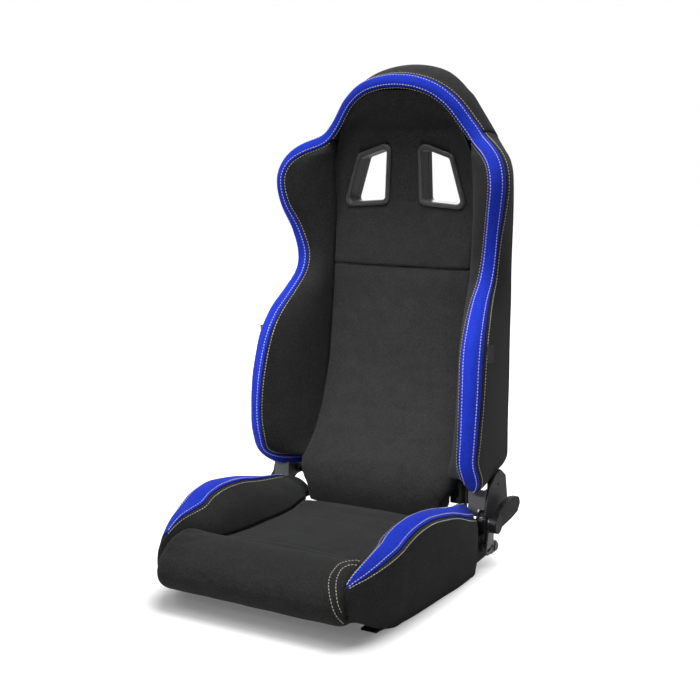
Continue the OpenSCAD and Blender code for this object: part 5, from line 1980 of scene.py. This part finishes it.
@dataclass(frozen=True)
class TagLoop:
    """A small woven loop sewn into the strip's outer seam, in millimetres."""

    width: float = 34
    reach: float = 11
    thick: float = 0.55
    height_z: float = 424
    turn: float = 38
    row: float = 6.1

    def build(self, form: BackForm) -> bpy.types.Object:
        """Models the left loop: a strip folded double, its two ends in the seam.

        Args:
            form: The backrest's form.

        Returns:
            The loop.
        """
        p = form.edge_point(self.row, 1)
        a = math.radians(self.turn)
        out = np.array([math.cos(a), math.sin(a), 0])
        side = np.array([-math.sin(a), math.cos(a), 0])
        start = np.array([p[0] + 4, p[1] - 1, 0]) - out * 1.5
        fold = [(0.0, 0.05), (self.reach * 0.4, 0.0), (self.reach * 0.8, -0.15), (self.reach + 0.9, 0.05),
                (self.reach + 1.5, 0.6), (self.reach + 0.9, 1.15), (self.reach * 0.8, 1.3),
                (self.reach * 0.4, 1.2), (0.0, 1.1)]
        path = [along(np.array(fold), t) for t in steps(0, len(fold) - 1, 33)]
        zs = steps(self.height_z - self.width / 2, self.height_z + self.width / 2, 22)
        middle = float(np.mean([q[0] for q in path])) * 0.98

        def point(k: float, z: float, inner: float) -> np.ndarray:
            """A point of the tape.

            Args:
                k: Number of the point along the fold.
                z: Height.
                inner: Depth under the tape's outer face.

            Returns:
                The point in millimetres.
            """
            q = path[int(k)]
            ripple = 0.25 * math.sin(z * 0.21) * q[0] / self.reach
            toward = unit(np.array([(q[0] - middle) * 0.12, q[1] - 0.6])) * inner
            return start + out * (q[0] - toward[0]) + side * (q[1] - toward[1] + ripple) + np.array([0, 0, z])

        ks = [float(k) for k in range(len(path))]
        return slab("side_tag_left_cloth", grid(ks, zs, lambda k, z: point(k, z, 0.0)),
                    grid(ks, zs, lambda k, z: point(k, z, self.thick * 0.8)))


# ---------------------------------------------------------------- hardware

@dataclass(frozen=True)
class Rounding:
    """A small bevel on a rigid piece's edges, in millimetres."""

    width: float = 0.6
    segments: int = 2
    angle: float = 40


class Hardware:
    """Gives every carried-over rigid piece its finish and softens its edges."""

    PAIRS = {
        "seat_rail": (Finish.BLACK_STEEL, Rounding(0.6)),
        "recliner_plate": (Finish.BLACK_STEEL, Rounding(0.5)),
        "recliner_arm": (Finish.BLACK_STEEL, Rounding(0.5)),
        "back_bracket": (Finish.FRAME_STEEL, Rounding(0.9)),
        "release_cam": (Finish.BARE_STEEL, None),
        "pawl": (Finish.BARE_STEEL, None),
        "recliner_spring": (Finish.SPRING_STEEL, None),
        "harness_bezel": (Finish.PLASTIC, Rounding(1.1, 3)),
        "rear_bezel": (Finish.PLASTIC, Rounding(0.8)),
        "recliner_lever": (Finish.GRIP, Rounding(1.2, 3)),
    }
    SINGLES = {
        "seat_cross_tubes": (Finish.BLACK_STEEL, None),
        "back_frame": (Finish.BLACK_STEEL, None),
        "back_cross_tubes": (Finish.BLACK_STEEL, None),
        "recliner_bolts": (Finish.BARE_STEEL, Rounding(0.4)),
        "pivot_bushes": (Finish.BARE_STEEL, Rounding(0.3)),
        "pawl_pins": (Finish.BARE_STEEL, Rounding(0.5)),
        "release_shaft": (Finish.BARE_STEEL, None),
        "seat_straps": (Finish.STRAP, None),
        "back_straps": (Finish.STRAP, None),
    }

    def __init__(self, wardrobe: Wardrobe) -> None:
        """Keeps the finishes."""
        self.wardrobe = wardrobe

    def dress(self, nodes: dict[str, bpy.types.Object]) -> None:
        """Dresses every rigid node.

        Args:
            nodes: The frame's nodes by name.
        """
        pairs = {f"{name}_{side}": look for name, look in self.PAIRS.items() for side in ("left", "right")}
        for name, (finish, rounding) in {**pairs, **self.SINGLES}.items():
            self.wardrobe.dress(nodes[name], finish)
            if rounding:
                self.soften(nodes[name], rounding)
            LOG.info("node %s in %s", name, finish.value.name)

    def soften(self, obj: bpy.types.Object, how: Rounding) -> None:
        """Joins a piece's loose triangles, bevels its sharp edges and evens its shading.

        Args:
            obj: The piece.
            how: The bevel's sizes.
        """
        weld = obj.modifiers.new("joined", "WELD")
        weld.merge_threshold = 0.00001
        bevel = obj.modifiers.new("rounded", "BEVEL")
        bevel.width = how.width * MM
        bevel.segments = how.segments
        bevel.limit_method = "ANGLE"
        bevel.angle_limit = math.radians(how.angle)
        bevel.harden_normals = False
        bevel.use_clamp_overlap = True
        even = obj.modifiers.new("even", "WEIGHTED_NORMAL")
        even.keep_sharp = True


# ---------------------------------------------------------------- studio

@dataclass(frozen=True)
class Lamp:
    """An area lamp of the studio: place and target in metres, size, power in watts, spread in degrees."""

    name: str
    at: tuple[float, float, float]
    to: tuple[float, float, float]
    size: float
    watts: float
    spread: float = 180.0


@dataclass(frozen=True)
class Studio:
    """Pale floor, soft lamps and the camera."""

    lens: float = 60.69
    place: tuple[float, float, float] = (1.06868, -1.81925, 0.82460)
    azimuth: float = 28.8825
    elevation: float = 10.2792
    floor_tone: float = 0.66
    footprint: tuple[float, float] = (0.17, 0.20)
    shade_reach: tuple[float, float] = (0.02, 0.14)
    shade_glow: float = 0.14
    world_light: float = 0.24
    lamps: tuple[Lamp, ...] = (
        Lamp("key", (-1.0, -1.7, 2.7), (0.0, 0.1, 0.4), 1.3, 18.0),
        Lamp("fill", (2.3, -1.6, 1.3), (0.0, 0.1, 0.45), 1.6, 2.5),
        Lamp("top", (0.1, -0.1, 2.8), (0.0, 0.05, 0.3), 1.2, 42.0),
        Lamp("rear", (-0.9, 2.5, 1.6), (0.0, 0.3, 0.5), 1.4, 16.0),
        Lamp("panel", (-0.3, -2.1, 1.6), (0.0, 0.2, 0.33), 0.4, 1.1, 22.0),
    )

    def build(self) -> None:
        """Builds the floor, world, lamps and camera."""
        self.floor()
        self.world()
        for lamp in self.lamps:
            self.hang(lamp)
        self.camera()

    def floor(self) -> None:
        """A wide pale floor, white to the camera away from the seat, that shows its real shadow under a
        painted shade round the seat.
        """
        bpy.ops.object.select_all(action="DESELECT")
        bpy.ops.mesh.primitive_circle_add(vertices=96, radius=9.0, fill_type="NGON")
        floor = bpy.context.object
        floor.name = "studio_floor"
        material = bpy.data.materials.new("studio_floor")
        material.use_nodes = True
        material.node_tree.nodes.clear()
        nodes = Nodes(material.node_tree)
        matt = nodes.add("BsdfDiffuse", {}, {"Color": (self.floor_tone,) * 3 + (1,)})["BSDF"]
        glow = nodes.add("Emission", {}, {"Color": WHITE, "Strength": self.glow(nodes)})["Emission"]
        total = nodes.add("AddShader", {}, [matt, glow])["Shader"]
        seen = nodes.add("LightPath", {}, [])["Is Camera Ray"]
        nodes.add("OutputMaterial", {}, [nodes.add("MixShader", {}, [seen, matt, total])["Shader"]])
        floor.data.materials.append(material)

    def glow(self, nodes: Nodes) -> Wire:
        """Strength of the floor's own light, which fades near the seat's footprint so that the shadow shows
        and a painted shade darkens the floor round the seat.

        Args:
            nodes: The floor's nodes.

        Returns:
            The strength.
        """
        reach = nodes.add("TexCoord", {}, [])["Object"]
        for kind, limit in (("ABSOLUTE", ()), ("SUBTRACT", ((*self.footprint, 0.0),)),
                            ("MAXIMUM", ((0.0, 0.0, 0.0),))):
            reach = nodes.add("VectorMath", {"operation": kind}, [reach, *limit])["Vector"]
        gap = nodes.add("VectorMath", {"operation": "LENGTH"}, [reach])["Value"]
        near, far = self.shade_reach
        # Painted shade: the glow dims to shade_glow within shade_reach of the footprint, darkening the floor
        # round the seat as well as its real shadow.
        fade = {"Value": gap, "From Min": near, "From Max": far, "To Min": self.shade_glow, "To Max": 1.0}
        return nodes.add("MapRange", {"interpolation_type": "SMOOTHSTEP"}, fade)["Result"]

    def world(self) -> None:
        """White to the camera and through clear pieces, soft grey as light."""
        world = bpy.data.worlds.new("studio")
        bpy.context.scene.world = world
        world.use_nodes = True
        world.node_tree.nodes.clear()
        nodes = Nodes(world.node_tree)
        path = nodes.add("LightPath", {}, [])
        rays = [path["Is Camera Ray"], path["Is Transmission Ray"]]
        white = nodes.add("Math", {"operation": "MAXIMUM"}, rays)
        light, seen = (nodes.add("Background", {}, {"Color": WHITE, "Strength": strength})["Background"]
                       for strength in (self.world_light, 1.0))
        mix = nodes.add("MixShader", {}, [white["Value"], light, seen])["Shader"]
        nodes.add("OutputWorld", {}, [mix])

    def hang(self, lamp: Lamp) -> None:
        """Hangs one area lamp, turned to its target.

        Args:
            lamp: Its place, target, size and power.
        """
        data = bpy.data.lights.new(lamp.name, "AREA")
        data.shape = "DISK"
        data.size = lamp.size
        data.energy = lamp.watts
        data.spread = math.radians(lamp.spread)
        obj = bpy.data.objects.new(lamp.name, data)
        obj.location = lamp.at
        aim = Vector(lamp.to) - Vector(lamp.at)
        obj.rotation_euler = aim.to_track_quat("-Z", "Y").to_euler()
        bpy.context.scene.collection.objects.link(obj)

    def camera(self) -> None:
        """The camera, level, at its calibrated place."""
        data = bpy.data.cameras.new("camera")
        data.lens = self.lens
        data.sensor_width = 36.0
        data.sensor_fit = "HORIZONTAL"
        obj = bpy.data.objects.new("camera", data)
        obj.location = self.place
        obj.rotation_euler = (math.radians(90 - self.elevation), 0, math.radians(self.azimuth))
        bpy.context.scene.collection.objects.link(obj)
        bpy.context.scene.camera = obj


# ---------------------------------------------------------------- the seat

class RacingSeat:
    """The whole seat: padded pieces, sewing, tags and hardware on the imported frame."""

    NODES = {"back_strip": "back_trim", "lower_panel": "back_panel_lower", "upper_panel": "back_panel_upper",
             "rear_cover": "back_cover", "cover_apron": "back_cover", "front_roll": "seat_front_roll",
             "seat_strip_left": "seat_trim_left", "seat_strip_right": "seat_trim_right"}
    SLOTS = {Finish.BLUE_CLOTH: "blue_cloth", Finish.COVER_CLOTH: "back_cloth",
             Finish.BLACK_CLOTH: "black_cloth"}

    def __init__(self, frame: dict) -> None:
        """Prepares the sub-assemblies.
        """
        self.frame = frame
        self.wardrobe = Wardrobe()
        self.back = Backrest(BackForm(BackSizes()))
        self.base = SeatBase(BaseForm(BaseSizes()))

    def finish_of(self, name: str) -> Finish:
        """The cloth of a padded piece.

        Args:
            name: The piece's name.

        Returns:
            The finish.
        """
        if "strip" in name:
            return Finish.BLUE_CLOTH
        if name.startswith(("rear_cover", "cover_apron")):
            return Finish.COVER_CLOTH
        return Finish.BLACK_CLOTH

    def settle(self, obj: bpy.types.Object, body: str, finish: Finish) -> None:
        """Gives a piece its finish and its body.

        Args:
            obj: The piece.
            body: The body that it rides on.
            finish: Its finish.
        """
        self.wardrobe.dress(obj, finish)
        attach(obj, body)

    def pads(self) -> None:
        sets = ((self.back.build(BezelSizes()), "backrest"), (self.base.build(), "base"))
        for pieces, body in sets:
            for name, obj in pieces.items():
                finish = self.finish_of(name)
                self.settle(obj, body, finish)
                own = name.removesuffix("_cloth")
                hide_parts(self.NODES.get(own, own))
                self.SLOTS[finish]
                LOG.info("padded piece %s on %s", name, body)

    def sewing(self) -> None:
        """Sews the rows of stitches."""
        plan = SeamPlan(self.back, self.base, Sewing(StitchSizes()))
        for body, rows in (("backrest", plan.back_rows()), ("base", plan.base_rows())):
            for tone, places in zip(ThreadTone, rows):
                obj = plan.sewing.sew(f"{body}_{tone.value}", places)
                white = tone is ThreadTone.WHITE
                self.settle(obj, body, Finish.WHITE_THREAD if white else Finish.CREAM_THREAD)
                LOG.info("%s: %d stitches", obj.name, len(places))

    def tags(self) -> None:
        """Makes the two side loops."""
        left = TagLoop().build(self.back.form)
        right = mirrored(left, "side_tag_right_cloth")
        for obj in (left, right):
            self.settle(obj, "backrest", Finish.TAG_CLOTH)
            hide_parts("side_tags")
            LOG.info("tag %s", obj.name)

    def build(self) -> None:
        """Builds everything on the frame."""
        self.pads()
        self.sewing()
        self.tags()
        Hardware(self.wardrobe).dress(self.frame["nodes"])


def main() -> None:
    """Loads the frame, builds the seat and the studio, and reports each step."""
    logging.basicConfig(level=logging.INFO, format="%(name)s: %(message)s")
    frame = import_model()
    scene = bpy.context.scene
    scene.view_settings.view_transform = "Standard"
    RacingSeat(frame).build()
    Studio().build()
    LOG.info("seat finished")


if __name__ == "__main__":
    main()
